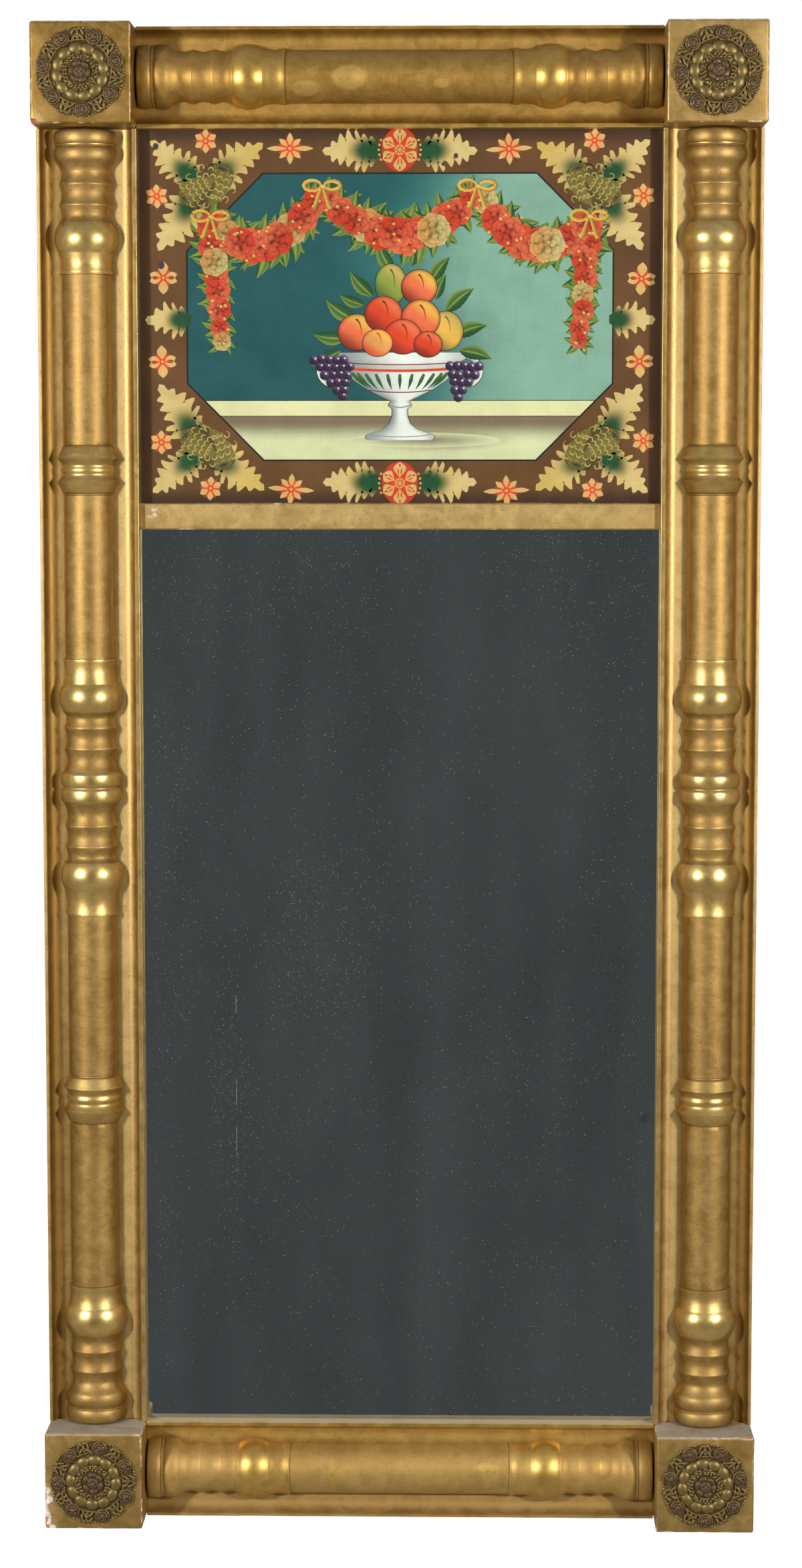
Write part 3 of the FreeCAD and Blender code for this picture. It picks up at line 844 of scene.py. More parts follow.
def finishMember(piece, nodeName):
    s, upright = memberSettings, "stile" in nodeName
    smoothBy(piece, s["smooth"])
    edge, height = s["halfWidth"] - s["margin"], s["halfHeight"] - s["margin"]
    inside, behind = s["recessHalf"] + s["margin"], s["recessDepth"] + s["margin"]
    low, high = s["recessLevels"][0] - s["margin"], s["recessLevels"][1] + s["margin"]

    # 0 gilded front, 1 washed sides, 2 bare wood behind, 3 dusty moulding
    def choose(centre, normal):
        if normal.y > 0.6 or centre.y > -behind and abs(centre.x) < inside and low < centre.z < high:
            return 2
        if abs(centre.x) > edge or abs(centre.z - s["middleLevel"]) > height:
            return 1
        return 3 if nodeName == "bottom_rail" and centre.z < 0 else 0

    kind = "stile" if upright else "rail"
    axis = columnSettings["uprightAxis"] if upright else columnSettings["crossLevels"][nodeName.split("_")[0]]
    profile = columnProfiles["upright" if upright else "cross"]

    def acrossAt(place):
        return s["halfWidth"] - abs(place.x) if upright else s["halfHeight"] - abs(place.z - s["middleLevel"])

    def toningAndShadeAt(place):
        along, aside = (place.z - s["middleLevel"], abs(place.x)) if upright else (place.x, place.z)
        across = acrossAt(place)
        # toning across the moulding, with painted shade in the hollows
        toningAndShade = throughStops(across, s["toningAndShade"][kind]) * s["toningAndShadeShare"][nodeName][across > s["width"] / 2]
        # painted shadow of the column on the bed round its foot
        if abs(along) < profile[-1][0]:
            clear = abs(aside - axis) - throughStops(along, profile)
            toningAndShade = max(toningAndShade, s["footShade"] * (1 - min(1, max(0, clear / s["footShadeReach"]))))
        return toningAndShade

    paintPoints(piece, "toningAndShade", toningAndShadeAt)
    paintPoints(piece, "dusty", lambda place: throughStops(acrossAt(place), s["dusty"]))
    paintPoints(piece, "burnish", lambda place: throughStops(acrossAt(place), s["burnish"]))
    materials = [stileGilding, sideWash, pine] if upright else [railGilding, sideWash, pineAcross]
    dress(piece, [nodeName], materials + [dustyGilding] * (nodeName == "bottom_rail"))
    sortFaces(piece, choose)


# Corner blocks, eased at the edges, with nicks knocked out of them
blockSettings = {
    "width": 67.0,
    "back": 14.5,
    "front": 52.0,
    "ease": 2.0,
    "wornReach": 1.1,
    "unevenness": 0.0004,
    "cuts": 5,
    "smooth": 32,
    "nickDepth": 0.4,
    "toningAndShade": {"top_left": 0.95, "top_right": 0.6, "bottom_left": 0.7, "bottom_right": 0.7},
    "centres": {"top_left": (-209.0, 949.0), "top_right": (209.0, 949.0),
                "bottom_left": (-209.0, 0.0), "bottom_right": (209.0, 0.0)},
    # place from the block's middle, size along each way
    "nicks": {
        "top_left": [((-33.0, -33.2), (5.5, 5.0, 3.6)), ((0.6, 33.6), (1.3, 3.0, 1.6)),
                     ((-33.6, 8.0), (0.9, 1.6, 3.0))],
        "top_right": [((33.6, -8.0), (1.0, 2.2, 9.0)), ((33.6, 14.0), (0.8, 1.6, 5.0)),
                      ((-33.4, -33.4), (2.0, 2.6, 2.0))],
        "bottom_left": [((-33.0, -6.5), (3.0, 1.15, 4.4)), ((-31.6, -13.0), (3.6, 1.15, 3.2)),
                        ((-32.4, -24.5), (3.2, 1.2, 8.8)), ((-31.3, -32.2), (4.8, 1.3, 2.8)),
                        ((-34.6, -10.5), (2.4, 3.4, 5.4)), ((-34.4, -17.5), (1.2, 2.4, 2.4)),
                        ((-34.6, -29.5), (2.3, 3.2, 3.6)), ((33.9, -17.0), (1.6, 2.4, 5.4)),
                        ((33.9, -27.0), (1.3, 2.2, 3.0)), ((33.6, 28.0), (1.6, 1.8, 4.0)),
                        ((6.0, 33.9), (4.0, 1.2, 0.9))],
        "bottom_right": [((14.0, 33.9), (12.0, 2.0, 1.5)), ((30.0, 33.8), (3.0, 2.4, 1.8)),
                         ((33.9, 20.0), (1.2, 2.0, 2.2)), ((33.9, 2.0), (1.1, 1.8, 3.0)),
                         ((33.9, -12.0), (1.2, 2.0, 2.0)), ((-2.0, -33.8), (4.4, 2.2, 1.6))],
    },
}


def lump(name, place, size, seed):
    clearSelection()
    bpy.ops.mesh.primitive_ico_sphere_add(subdivisions=3, radius=1, location=(0, 0, 0))
    piece = bpy.context.object
    piece.name = name
    dice = random.Random(seed)
    waves = [(Vector([dice.uniform(-1, 1) for _ in range(3)]) * 3.2, dice.uniform(0, 6.3)) for _ in range(4)]
    for vertex in piece.data.vertices:
        bump = sum(math.sin(vertex.co.dot(way) * 1.7 + turn) for way, turn in waves) / len(waves)
        vertex.co *= 1 + 0.30 * bump
    placeMesh(piece, Matrix.Translation([c * mm for c in place])
              @ Matrix.Diagonal([c * mm for c in size] + [1]))
    return piece


# 1 along the arrises of a block, falling to 0 on its faces
def wornAt(place, x, z, s):
    half = s["width"] / 2
    depths = sorted((half - abs(place.x - x), half - abs(place.z - z), s["front"] + place.y))
    return max(0.0, 1 - (depths[0] + depths[1] - 0.586 * s["ease"]) / s["wornReach"])


def buildBlocks(s):
    half = s["width"] / 2
    for corner, (x, z) in s["centres"].items():
        piece = boxBetween("block_" + corner, (x - half, s["back"], z - half), (x + half, s["front"], z + half))
        bevelEdges(piece, s["ease"], 5)
        editWhole(piece, lambda: bpy.ops.mesh.subdivide(number_cuts=s["cuts"]))
        wavy(piece, s["unevenness"], higherThan(s["back"] + 2))
        paintPoints(piece, "worn", lambda place: wornAt(place, x, z, s))
        paintPoints(piece, "toningAndShade", lambda place: s["toningAndShade"][corner])
        piece.data.materials.append(blockGilding)
        for i, (place, size) in enumerate(s["nicks"][corner]):
            nick = lump("nick", (x + place[0], s["nickDepth"] - s["front"], z + place[1]), size,
                        i + len(corner))
            nick.data.materials.append(brokenGesso)
            combine(piece, nick, "DIFFERENCE")
        smoothBy(piece, s["smooth"])
        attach(piece, "frame")
        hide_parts("corner_block_" + corner)
    print("blocks cut")


# Stamped brass rosettes, modelled once in millimetres facing up, then set on the blocks
rosetteSettings = {
    "foot": 0.3,
    "bed": [(0, 2.7), (8.2, 2.7), (11.6, 2.5), (12.4, 1.5), (18.6, 1.2), (19.2, 0.8), (21.0, 0.8),
            (21.8, 0.75), (27.6, 0.75), (28.9, 0.7), (29.2, 0.0)],
    # count, radius, height and size of each row of beads
    "beadRows": [(33, 11.7, 2.7, 0.72), (28, 10.4, 3.1, 0.74), (23, 9.1, 3.3, 0.74)],
    # radius, turn aside, length and lean of each leaf between the roses
    "sprayLeaves": [(23.0, -0.10, 3.2, 0.9), (26.2, -0.115, 3.0, 0.35), (25.4, 0.0, 3.0, 0.1),
                    (23.2, 0.10, 3.0, -0.8), (27.0, 0.11, 2.7, -0.4)],
    # radius and turn aside of the small flowers
    "sprayFlowers": ((27.6, 0.045), (22.4, 0.0), (28.0, -0.055)),
    "roseCount": 7,
    "roseCircle": 24.3,
    # the smooth pads, the heart's leaves and its petals:
    # count, first turn, radius, height, size, tilt and fineness
    "pads": (12, 0.12, 15.6, 1.3, (3.9, 5.0, 2.35), 0.10, 20, 12),
    "heartLeaves": (6, 0.3, 5.3, 3.9, (2.1, 3.0, 1.2), -0.25),
    "heartPetals": (4, 0.7, 1.7, 4.8, (0.75, 1.5, 0.75), -0.2),
    # count, radius and height of the beads along the rim
    "rim": (84, 28.75, 0.85),
    # share of the way to the next rose and length of each leaf in the collar, then its radius and height
    "collar": ((0.27, 3.0), (0.5, 2.2), (0.73, 3.0)),
    "collarPlace": (20.7, 1.35),
    # how far the brown of a rose and of the heart reaches, and where the smooth pads lie
    "roseReach": [(4.2, 1.0), (4.7, 0.0)],
    "heartReach": [(7.3, 1.0), (8.0, 0.0)],
    "padReach": [(12.4, 0.0), (13.0, 1.0), (18.6, 1.0), (19.2, 0.0)],
    "smooth": 60,
    "turns": {"top_left": -86.6, "top_right": 82.6, "bottom_left": 79.3, "bottom_right": -89.4},
    "voxel": 0.36,
    "front": 52.0,
    "seed": 11,
}


def ball(place, size, turn=0.0, tilt=0.0, segments=14, rings=8):
    bpy.ops.mesh.primitive_uv_sphere_add(segments=segments, ring_count=rings, radius=1, location=place,
                                         scale=size, rotation=(0, tilt, turn))
    return bpy.context.object


def hoop(place, radius, thickness, tilt=(0, 0, 0)):
    bpy.ops.mesh.primitive_torus_add(major_radius=radius, minor_radius=thickness, major_segments=28,
                                     minor_segments=8, location=place, rotation=tilt)
    return bpy.context.object


def onCircle(radius, turn, height):
    return (radius * math.cos(turn), radius * math.sin(turn), height)


def ringOf(count, start, radius, height, size, tilt, *fineness):
    turns = [i * 2 * math.pi / count + start for i in range(count)]
    return [ball(onCircle(radius, t, height), size, t, tilt, *fineness) for t in turns]


def rosePieces(centre, turn, dice):
    x, y, z = centre
    pieces = [ball(centre, (4.0, 4.0, 1.5))]
    for i in range(5):
        t = turn + i * 2 * math.pi / 5 + dice.uniform(-0.15, 0.15)
        pieces.append(ball((x + 2.7 * math.cos(t), y + 2.7 * math.sin(t), z + 0.95), (1.15, 2.0, 0.75), t,
                           -0.35))
    for i in range(3):
        t = turn + 0.5 + i * 2 * math.pi / 3 + dice.uniform(-0.2, 0.2)
        pieces.append(ball((x + 1.25 * math.cos(t), y + 1.25 * math.sin(t), z + 1.55), (0.62, 1.35, 0.75), t,
                           -0.25))
    pieces.append(ball((x, y, z + 1.85), (0.62, 0.62, 0.7)))
    pieces.append(hoop((x, y, z + 0.1), 4.55, 0.55, (dice.uniform(-0.06, 0.06), dice.uniform(-0.06, 0.06), 0)))
    pieces.append(hoop((x, y, z + 1.2), 3.2, 0.42, (dice.uniform(-0.08, 0.08), dice.uniform(-0.08, 0.08), 0)))
    return pieces


def sprayPieces(turn, dice, s):
    pieces = []
    for radius, offset, length, lean in s["sprayLeaves"]:
        t = turn + offset
        pieces.append(ball(onCircle(radius, t, 1.75), (length, 0.85, 0.75), t + lean + dice.uniform(-0.2, 0.2),
                           0.08))
    for radius, offset in s["sprayFlowers"]:
        t = turn + offset
        x, y, z = onCircle(radius, t, 2.0)
        pieces.append(ball((x, y, z), (0.55, 0.55, 0.7), segments=8, rings=6))
        for k in range(5):
            a = k * 2 * math.pi / 5 + t
            pieces.append(ball((x + 0.85 * math.cos(a), y + 0.85 * math.sin(a), z - 0.15), (0.5, 0.5, 0.5),
                               segments=8, rings=6))
    return pieces


def buildStamping(s):
    dice = random.Random(s["seed"])
    bed = penLine("stamping", [Vector((radius, 0, height)) for radius, height in s["bed"] + [(0, 0)]])
    editWhole(bed, lambda: bpy.ops.mesh.spin(steps=72, angle=2 * math.pi, center=(0, 0, 0), axis=(0, 0, 1)),
              lambda: bpy.ops.mesh.remove_doubles(threshold=1e-3), faceOutwards)
    clearSelection()
    pieces = [bed] + ringOf(*s["pads"])
    for row, (count, radius, height, size) in enumerate(s["beadRows"]):
        for i in range(count):
            t = (i + 0.37 * row) * 2 * math.pi / count + dice.uniform(-0.06, 0.06)
            reach = radius + dice.uniform(-0.45, 0.45)
            pieces.append(ball(onCircle(reach, t, height + dice.uniform(-0.15, 0.2)), (size, size, size),
                               segments=8, rings=6))
    pieces += ringOf(*s["heartLeaves"])
    pieces += [ball((0, 0, 3.6), (5.2, 5.2, 1.4)), hoop((0, 0, 4.75), 3.0, 0.62)]
    pieces += ringOf(*s["heartPetals"])
    pieces.append(ball((0, 0, 5.0), (0.8, 0.8, 0.75)))
    gap = 2 * math.pi / s["roseCount"]
    for i in range(s["roseCount"]):
        pieces += rosePieces(onCircle(s["roseCircle"], i * gap, 2.0), i * 0.9, dice)
        pieces += sprayPieces((i + 0.5) * gap, dice, s)
    count, radius, height = s["rim"]
    for i in range(count):
        t = i * 2 * math.pi / count
        size = dice.uniform(0.6, 1.0)
        spot = onCircle(radius + dice.uniform(-0.4, 0.25), t, height)
        pieces.append(ball(spot, (size, size * 1.1, 0.7), t, 0, 8, 6))
    radius, height = s["collarPlace"]
    for i in range(s["roseCount"]):
        for offset, length in s["collar"]:
            t = (i + offset) * gap
            pieces.append(ball(onCircle(radius, t, height), (0.75, length, 1.0), t, 0, 12, 8))
    stamping = joinPieces("stamping", pieces)
    bpy.ops.object.transform_apply(location=True, rotation=True, scale=True)
    applyModifier(stamping, "REMESH", mode="VOXEL", voxel_size=s["voxel"])
    applyModifier(stamping, "SMOOTH", factor=0.35, iterations=1)
    foot = s["foot"]
    editWhole(stamping, lambda: bpy.ops.mesh.bisect(plane_co=(0, 0, foot), plane_no=(0, 0, 1), use_fill=True,
                                                    clear_inner=True))
    placeMesh(stamping, Matrix.Translation((0, 0, -foot)))
    paintStamping(stamping, s)
    return stamping


# Where the stamping is a rose, and where it is a smooth pad
def paintStamping(stamping, s):
    gap = 2 * math.pi / s["roseCount"]
    centres = [Vector(onCircle(s["roseCircle"], i * gap, 0)).xy for i in range(s["roseCount"])]

    def roseAt(place):
        flat = place.xy * mm
        near = min((flat - centre).length for centre in centres)
        return max(throughStops(near, s["roseReach"]), throughStops(flat.length, s["heartReach"]))

    def padAt(place):
        return throughStops(place.xy.length * mm, s["padReach"])

    paintPoints(stamping, "rose", roseAt)
    paintPoints(stamping, "pad", padAt)


def buildRosettes(s):
    stamping = buildStamping(s)
    stand = Matrix.Rotation(math.radians(90), 4, "X") @ Matrix.Scale(mm, 4)
    for corner, (x, z) in blockSettings["centres"].items():
        piece = copyPiece(stamping, "rosette_" + corner + "_stamped")
        turn = Matrix.Rotation(math.radians(s["turns"][corner]), 4, "Z")
        placeMesh(piece, Matrix.Translation((x * mm, -s["front"] * mm, z * mm)) @ stand @ turn)
        smoothBy(piece, s["smooth"])
        dress(piece, ["rosette_" + corner], [rosetteBrass])
    print("rosettes stamped", len(stamping.data.polygons))
    bpy.data.objects.remove(stamping)


def brassMaterial():
    material, tree, shader, coord = newMaterial("rosetteBrass")
    bumpy = node(tree, "NewGeometry").outputs["Pointiness"]
    mottle = noise(tree, coord, 420.0)
    rose, pad = attribute(tree, "rose"), attribute(tree, "pad")
    # yellow on ridges and dark in recesses: patina and rubbed high points, partly painted highlight on the
    # ridges and painted shade in the recesses
    ridge = fade(tree, bumpy, 0.45, 0.63)
    tone = calc(tree, "ADD", ridge, calc(tree, "MULTIPLY", calc(tree, "SUBTRACT", mottle, 0.5), 0.4))
    leafy = ramp(tree, tone, [(0.05, (0.075, 0.048, 0.016)), (0.40, (0.19, 0.130, 0.045)),
                              (0.68, (0.32, 0.235, 0.075)), (0.98, (0.60, 0.50, 0.17))])
    brown = ramp(tree, tone, [(0.05, (0.055, 0.032, 0.015)), (0.45, (0.155, 0.098, 0.047)),
                              (0.95, (0.36, 0.26, 0.12))])
    olive = ramp(tree, tone, [(0.05, (0.11, 0.075, 0.025)), (0.4, (0.27, 0.195, 0.066)),
                              (0.9, (0.40, 0.30, 0.11))])
    colour = blend(tree, pad, blend(tree, rose, leafy, brown), olive)
    tree.links.new(colour, shader["Base Color"])
    tree.links.new(between(tree, pad, fade(tree, tone, 0.1, 0.9, 0.60, 0.42), 0.46), shader["Roughness"])
    shader["Metallic"].default_value = 0.7
    setBump(tree, shader, mottle, 0.25, 0.0002)
    return material


rosetteBrass = brassMaterial()
blockGilding = gildedMaterial("blockGilding", (40, 40, 40), burnish=0.2, toningAndShade="toningAndShade", dust=(0.35, 0.8, 1.1),
                              worn="worn", powder=(0.40, 0.355, 0.295))
dividerGilding = gildedMaterial("dividerGilding", (14, 300, 300), burnish=0.35, toningAndShade="toningAndShade", worn="worn")


# Ochre size brushed on the outer sides, thin over the wood and grimy in places
def washMaterial():
    material, tree, shader, coord = newMaterial("ochreSides")
    brushed = noise(tree, stretched(tree, coord, (40, 40, 40)), 1.0, 4.0, 0.6)
    fine = noise(tree, coord, 260.0, 3.0)
    tone = weighed(tree, (brushed, 0.7), (fine, 0.3))
    wash = ramp(tree, tone, [(0.34, (0.16, 0.095, 0.035)), (0.48, (0.31, 0.195, 0.068)),
                             (0.64, (0.43, 0.285, 0.105))])
    grime = fade(tree, noise(tree, coord, 22.0, 4.0, 0.65), 0.55, 0.72, 0.0, 0.6)
    tree.links.new(blend(tree, grime, wash, (0.075, 0.05, 0.03, 1)), shader["Base Color"])
    tree.links.new(fade(tree, tone, 0.3, 0.7, 0.72, 0.5), shader["Roughness"])
    setBump(tree, shader, tone, 0.4, 0.0004)
    return material


sideWash = washMaterial()


# A chip: white gesso for a little over a millimetre, then wood stained by the red clay
def chipMaterial(front):
    material, tree, shader, coord = newMaterial("brokenGesso")
    deep = calc(tree, "ADD", node(tree, "SeparateXYZ", {0: coord}).outputs[1], front * mm)
    deep = calc(tree, "ADD", deep, fade(tree, noise(tree, coord, 150.0, 3.0), 0.3, 0.7, -0.0005, 0.0005))
    crumbs = noise(tree, coord, 900.0, 3.0)
    gesso = ramp(tree, crumbs, [(0.35, (0.52, 0.46, 0.37)), (0.65, (0.78, 0.74, 0.66))])
    clay = ramp(tree, crumbs, [(0.35, (0.33, 0.10, 0.035)), (0.65, (0.55, 0.20, 0.075))])
    tree.links.new(blend(tree, fade(tree, deep, 0.0013, 0.0017), gesso, clay), shader["Base Color"])
    shader["Roughness"].default_value = 0.88
    setBump(tree, shader, crumbs, 0.5, 0.0003)
    return material


brokenGesso = chipMaterial(blockSettings["front"])


def ironMaterial():
    material, tree, shader, coord = newMaterial("darkIron")
    scale = noise(tree, coord, 420.0, 4.0, 0.65)
    rust = fade(tree, noise(tree, coord, 170.0, 3.0, 0.6), 0.50, 0.64)
    black = ramp(tree, scale, [(0.35, (0.030, 0.028, 0.027)), (0.62, (0.105, 0.098, 0.092))])
    red = ramp(tree, scale, [(0.35, (0.085, 0.036, 0.016)), (0.62, (0.20, 0.085, 0.034))])
    tree.links.new(blend(tree, rust, black, red), shader["Base Color"])
    tree.links.new(between(tree, rust, 0.46, 0.85), shader["Roughness"])
    tree.links.new(between(tree, rust, 0.9, 0.1), shader["Metallic"])
    setBump(tree, shader, scale, 0.5, 0.0002)
    return material


# Old pine with its grain along one way, darkened by air and grimy in patches
def pineMaterial(name, grain):
    material, tree, shader, coord = newMaterial(name)
    bent = noise(tree, coord, 6.0, 2.0)
    lines = noise(tree, stretched(tree, coord, grain), 1.0, 5.0, 0.62, 0.8)
    fibre = noise(tree, stretched(tree, coord, [g * 6 for g in grain]), 1.0, 3.0)
    tone = weighed(tree, (lines, 0.62), (fibre, 0.24), (bent, 0.14))
    wood = ramp(tree, tone, [(0.34, (0.17, 0.095, 0.045)), (0.47, (0.36, 0.225, 0.115)),
                             (0.56, (0.46, 0.305, 0.165)), (0.68, (0.55, 0.385, 0.22))])
    cells = node(tree, "TexVoronoi",
                 {"Vector": stretched(tree, coord, (1.0, 1.0, 1.0) if grain[0] > 20 else (0.7, 1.0, 1.2)),
                  "Scale": 5.5}).outputs
    knots = fade(tree, calc(tree, "ADD", cells["Distance"], calc(tree, "MULTIPLY", lines, 0.05)), 0.055, 0.10,
                 0.85, 0.0)
    wood = blend(tree, knots, wood, (0.065, 0.030, 0.014, 1))
    dirt = fade(tree, noise(tree, coord, 14.0, 4.0, 0.65), 0.50, 0.72, 0.0, 0.38)
    tree.links.new(blend(tree, dirt, wood, (0.12, 0.085, 0.058, 1)), shader["Base Color"])
    tree.links.new(fade(tree, tone, 0.3, 0.7, 0.85, 0.68), shader["Roughness"])
    setBump(tree, shader, tone, 0.6, 0.0006)
    return material


iron = ironMaterial()
pine = pineMaterial("oldPineUpright", (70, 70, 5))
pineAcross = pineMaterial("oldPineAcross", (5, 70, 70))


# Backboards: planed boards with eased edges and a slight warp
boardSettings = {"nodes": ["tablet_backboard", "mirror_backboard_left", "mirror_backboard_right"], "ease": 0.7,
                 "cuts": 24, "uneven": 0.0005, "backFace": 0.5, "smooth": 34}


def buildBoards(s):
    for name in s["nodes"]:
        low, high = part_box(name)
        piece = boxBetween(name + "_planed", [low[0] / mm, -high[1] / mm, low[2] / mm],
                           [high[0] / mm, -low[1] / mm, high[2] / mm])
        bevelEdges(piece, s["ease"], 3)
        editWhole(piece, lambda: bpy.ops.mesh.subdivide(number_cuts=s["cuts"]))
        wavy(piece, s["uneven"], lambda co: co.y > high[1] - s["backFace"] * mm)
        smoothBy(piece, s["smooth"])
        dress(piece, [name], [pineAcross if "tablet" in name else pine])
    print("boards planed")


# Hanger: a strap rolled into an eye, and a bent wire ring through it
hangerSettings = {
    "eye": (3.2462, 952.5),
    "eyeRadii": (1.7642, 2.5538),
    "eyeRoom": 10.0,
    "strap": (930.5, 4.8, 5.8, 9.0),
    "tip": 1.2,
    "roll": (90, -212, 118),       # degrees where the strap meets the eye, turns back inside it and ends
    "rollSteps": 26,
    "wire": 1.0,
    "corners": [(-11.0, 0.0), (11.0, 0.0), (0.0, -18.0)],
    "bend": 3.0,
    "bendSteps": 8,
    "sides": 12,
    "strapStep": 1.5,
    "strapSmooth": 30,
    "ringSmooth": 60,
}


def bentPath(s):
    points = []
    corners = [Vector(c) for c in s["corners"]]
    count = len(corners)
    for i, corner in enumerate(corners):
        before = (corners[i - 1] - corner).normalized()
        after = (corners[(i + 1) % count] - corner).normalized()
        half = before.angle(after) / 2
        run = s["bend"] / math.tan(half)
        middle = corner + (before + after).normalized() * (s["bend"] / math.sin(half))
        start, end = corner + before * run - middle, corner + after * run - middle
        sweep = start.angle(end)
        for k in range(s["bendSteps"] + 1):
            t = k / s["bendSteps"]
            swung = start * math.sin((1 - t) * sweep) + end * math.sin(t * sweep)
            points.append(middle + swung / math.sin(sweep))
    return points


def buildHanger(s):
    height, level = s["eye"]
    inner, outer = s["eyeRadii"]
    low, front, back, width = s["strap"]
    top = level + s["eyeRoom"]
    start, turned, inside = s["roll"]
    roll = [(level + r * math.cos(math.radians(t)), height + r * math.sin(math.radians(t)))
            for r, a, b in ((outer, start, turned), (inner, turned, inside))
            for t in [a + (b - a) * i / s["rollSteps"] for i in range(s["rollSteps"] + 1)]]
    outline = [(low + s["tip"], back), *roll, (low + s["tip"], front), (low, (front + back) / 2)]
    piece = runAlong("hangerStrap", [(top - z, h) for z, h in outline], width, s["strapStep"])
    placeMesh(piece, Matrix.Translation((0, 0, top * mm)) @ Matrix.Rotation(math.radians(90), 4, "Y"))
    smoothBy(piece, s["strapSmooth"])
    dress(piece, ["hanger_strap"], [iron])
    path = bentPath(s)
    clearSelection()
    bpy.ops.mesh.primitive_torus_add(major_segments=len(path), minor_segments=s["sides"], major_radius=0.01,
                                     minor_radius=s["wire"] * mm)
    ring = bpy.context.object
    ring.name = ring.data.name = "hangerRing"
    for i, spot in enumerate(path):
        way = (path[(i + 1) % len(path)] - path[i - 1]).normalized()
        for k in range(s["sides"]):
            turn = 2 * math.pi * k / s["sides"]
            aside = s["wire"] * math.cos(turn)
            place = (spot.x - way.y * aside, -height + s["wire"] * math.sin(turn),
                     level + spot.y + way.x * aside)
            ring.data.vertices[i * s["sides"] + k].co = Vector(place) * mm
    editWhole(ring, faceOutwards)
    smoothBy(ring, s["ringSmooth"])
    dress(ring, ["hanger_ring"], [iron], "ring")
    print("hanger bent")


# Old silvering: pale specks that crowd in places, soft dark spots, smoke and one long scratch
plateSettings = {
    "crowds": [((-0.055, 0.36), (0.05, 0.09), 0.34), ((-0.117, 0.25), (0.018, 0.12), 0.55),
               ((-0.10, 0.60), (0.12, 0.06), 0.14), ((-0.17, 0.35), (0.03, 0.35), 0.16),
               ((0.12, 0.62), (0.08, 0.04), 0.14), ((0.165, 0.25), (0.02, 0.2), 0.12)],
    "scratch": (-0.1125, 0.00025, (0.215, 0.335)),
}


def plateMaterial(s):
    material, tree, shader, coord = newMaterial("mirrorPlate")
    parts = node(tree, "SeparateXYZ", {0: coord}).outputs
    crowd = fade(tree, noise(tree, coord, 9.0, 3.0), 0.35, 0.75, 0.04, 0.30)
    for (x, z), (wide, high), amount in s["crowds"]:
        aside = calc(tree, "DIVIDE", calc(tree, "SUBTRACT", parts[0], x), wide)
        above = calc(tree, "DIVIDE", calc(tree, "SUBTRACT", parts[2], z), high)
        away = calc(tree, "ADD", calc(tree, "MULTIPLY", aside, aside), calc(tree, "MULTIPLY", above, above))
        crowd = calc(tree, "ADD", crowd, fade(tree, away, 0.0, 1.0, amount, 0.0))
    specks = 0.0
    for scale, reach in ((700.0, 0.26), (1300.0, 0.34), (210.0, 0.09)):
        cells = node(tree, "TexVoronoi", {"Vector": coord, "Scale": scale}).outputs
        chance = node(tree, "SeparateColor", {0: cells["Color"]}).outputs
        size = calc(tree, "MULTIPLY", chance[1], reach)
        dot = calc(tree, "MULTIPLY", calc(tree, "LESS_THAN", chance[0], crowd),
                   calc(tree, "LESS_THAN", cells["Distance"], size))
        specks = calc(tree, "MAXIMUM", specks,
                      calc(tree, "MULTIPLY", dot, fade(tree, chance[2], 0.0, 1.0, 0.08, 0.6)))
    place, width, (low, high) = s["scratch"]
    line = calc(tree, "LESS_THAN", calc(tree, "ABSOLUTE", calc(tree, "SUBTRACT", parts[0], place)), width)
    line = calc(tree, "MULTIPLY", line, calc(tree, "GREATER_THAN", parts[2], low))
    line = calc(tree, "MULTIPLY", line, calc(tree, "LESS_THAN", parts[2], high))
    line = calc(tree, "MULTIPLY", line, fade(tree, noise(tree, coord, 60.0, 2.0), 0.47, 0.52))
    specks = calc(tree, "MAXIMUM", specks, calc(tree, "MULTIPLY", line, 0.2))
    spots = node(tree, "TexVoronoi", {"Vector": coord, "Scale": 19.0}).outputs
    spotChance = node(tree, "SeparateColor", {0: spots["Color"]}).outputs
    shade = calc(tree, "MULTIPLY", fade(tree, spots["Distance"], 0.03, 0.10, 0.45, 0.0),
                 calc(tree, "LESS_THAN", spotChance[0], 0.22))
    smoke = noise(tree, stretched(tree, coord, (1.0, 1.0, 0.45)), 11.0, 4.0, 0.6, 0.4)
    silver = ramp(tree, smoke,
                  [(0.35, (0.47, 0.49, 0.475)), (0.5, (0.53, 0.545, 0.535)), (0.68, (0.60, 0.605, 0.58))])
    silver = blend(tree, shade, silver, (0.17, 0.17, 0.16, 1))
    colour = blend(tree, specks, silver, (0.50, 0.48, 0.43, 1))
    tree.links.new(colour, shader["Base Color"])
    tree.links.new(calc(tree, "SUBTRACT", 1.0, specks), shader["Metallic"])
    tree.links.new(fade(tree, specks, 0.0, 1.0, 0.035, 0.5), shader["Roughness"])
    return material


plate = plateMaterial(plateSettings)

# Bar between the tablet and the plate: a lip with rubbed edges in front and a tongue behind the glasses
dividerSettings = {
    "lip": ((-175.5, 12.0, 649.0), (175.5, 17.0, 667.0)),
    "tongue": ((-182.5, 2.2, 653.5), (182.5, 12.3, 662.5)),
    "ease": 1.3,
    "step": 4.0,
    "wornEnd": [(-176.0, 0.75), (-128.0, 0.0)],
    "wornEdge": [(0.0, 0.7), (0.7, 0.55), (1.5, 0.2), (2.6, 0.0)],
    "toningAndShade": [(120.0, 0.18), (176.0, 0.45)],
    "smooth": 34,
    "unevenness": 0.00035,
}


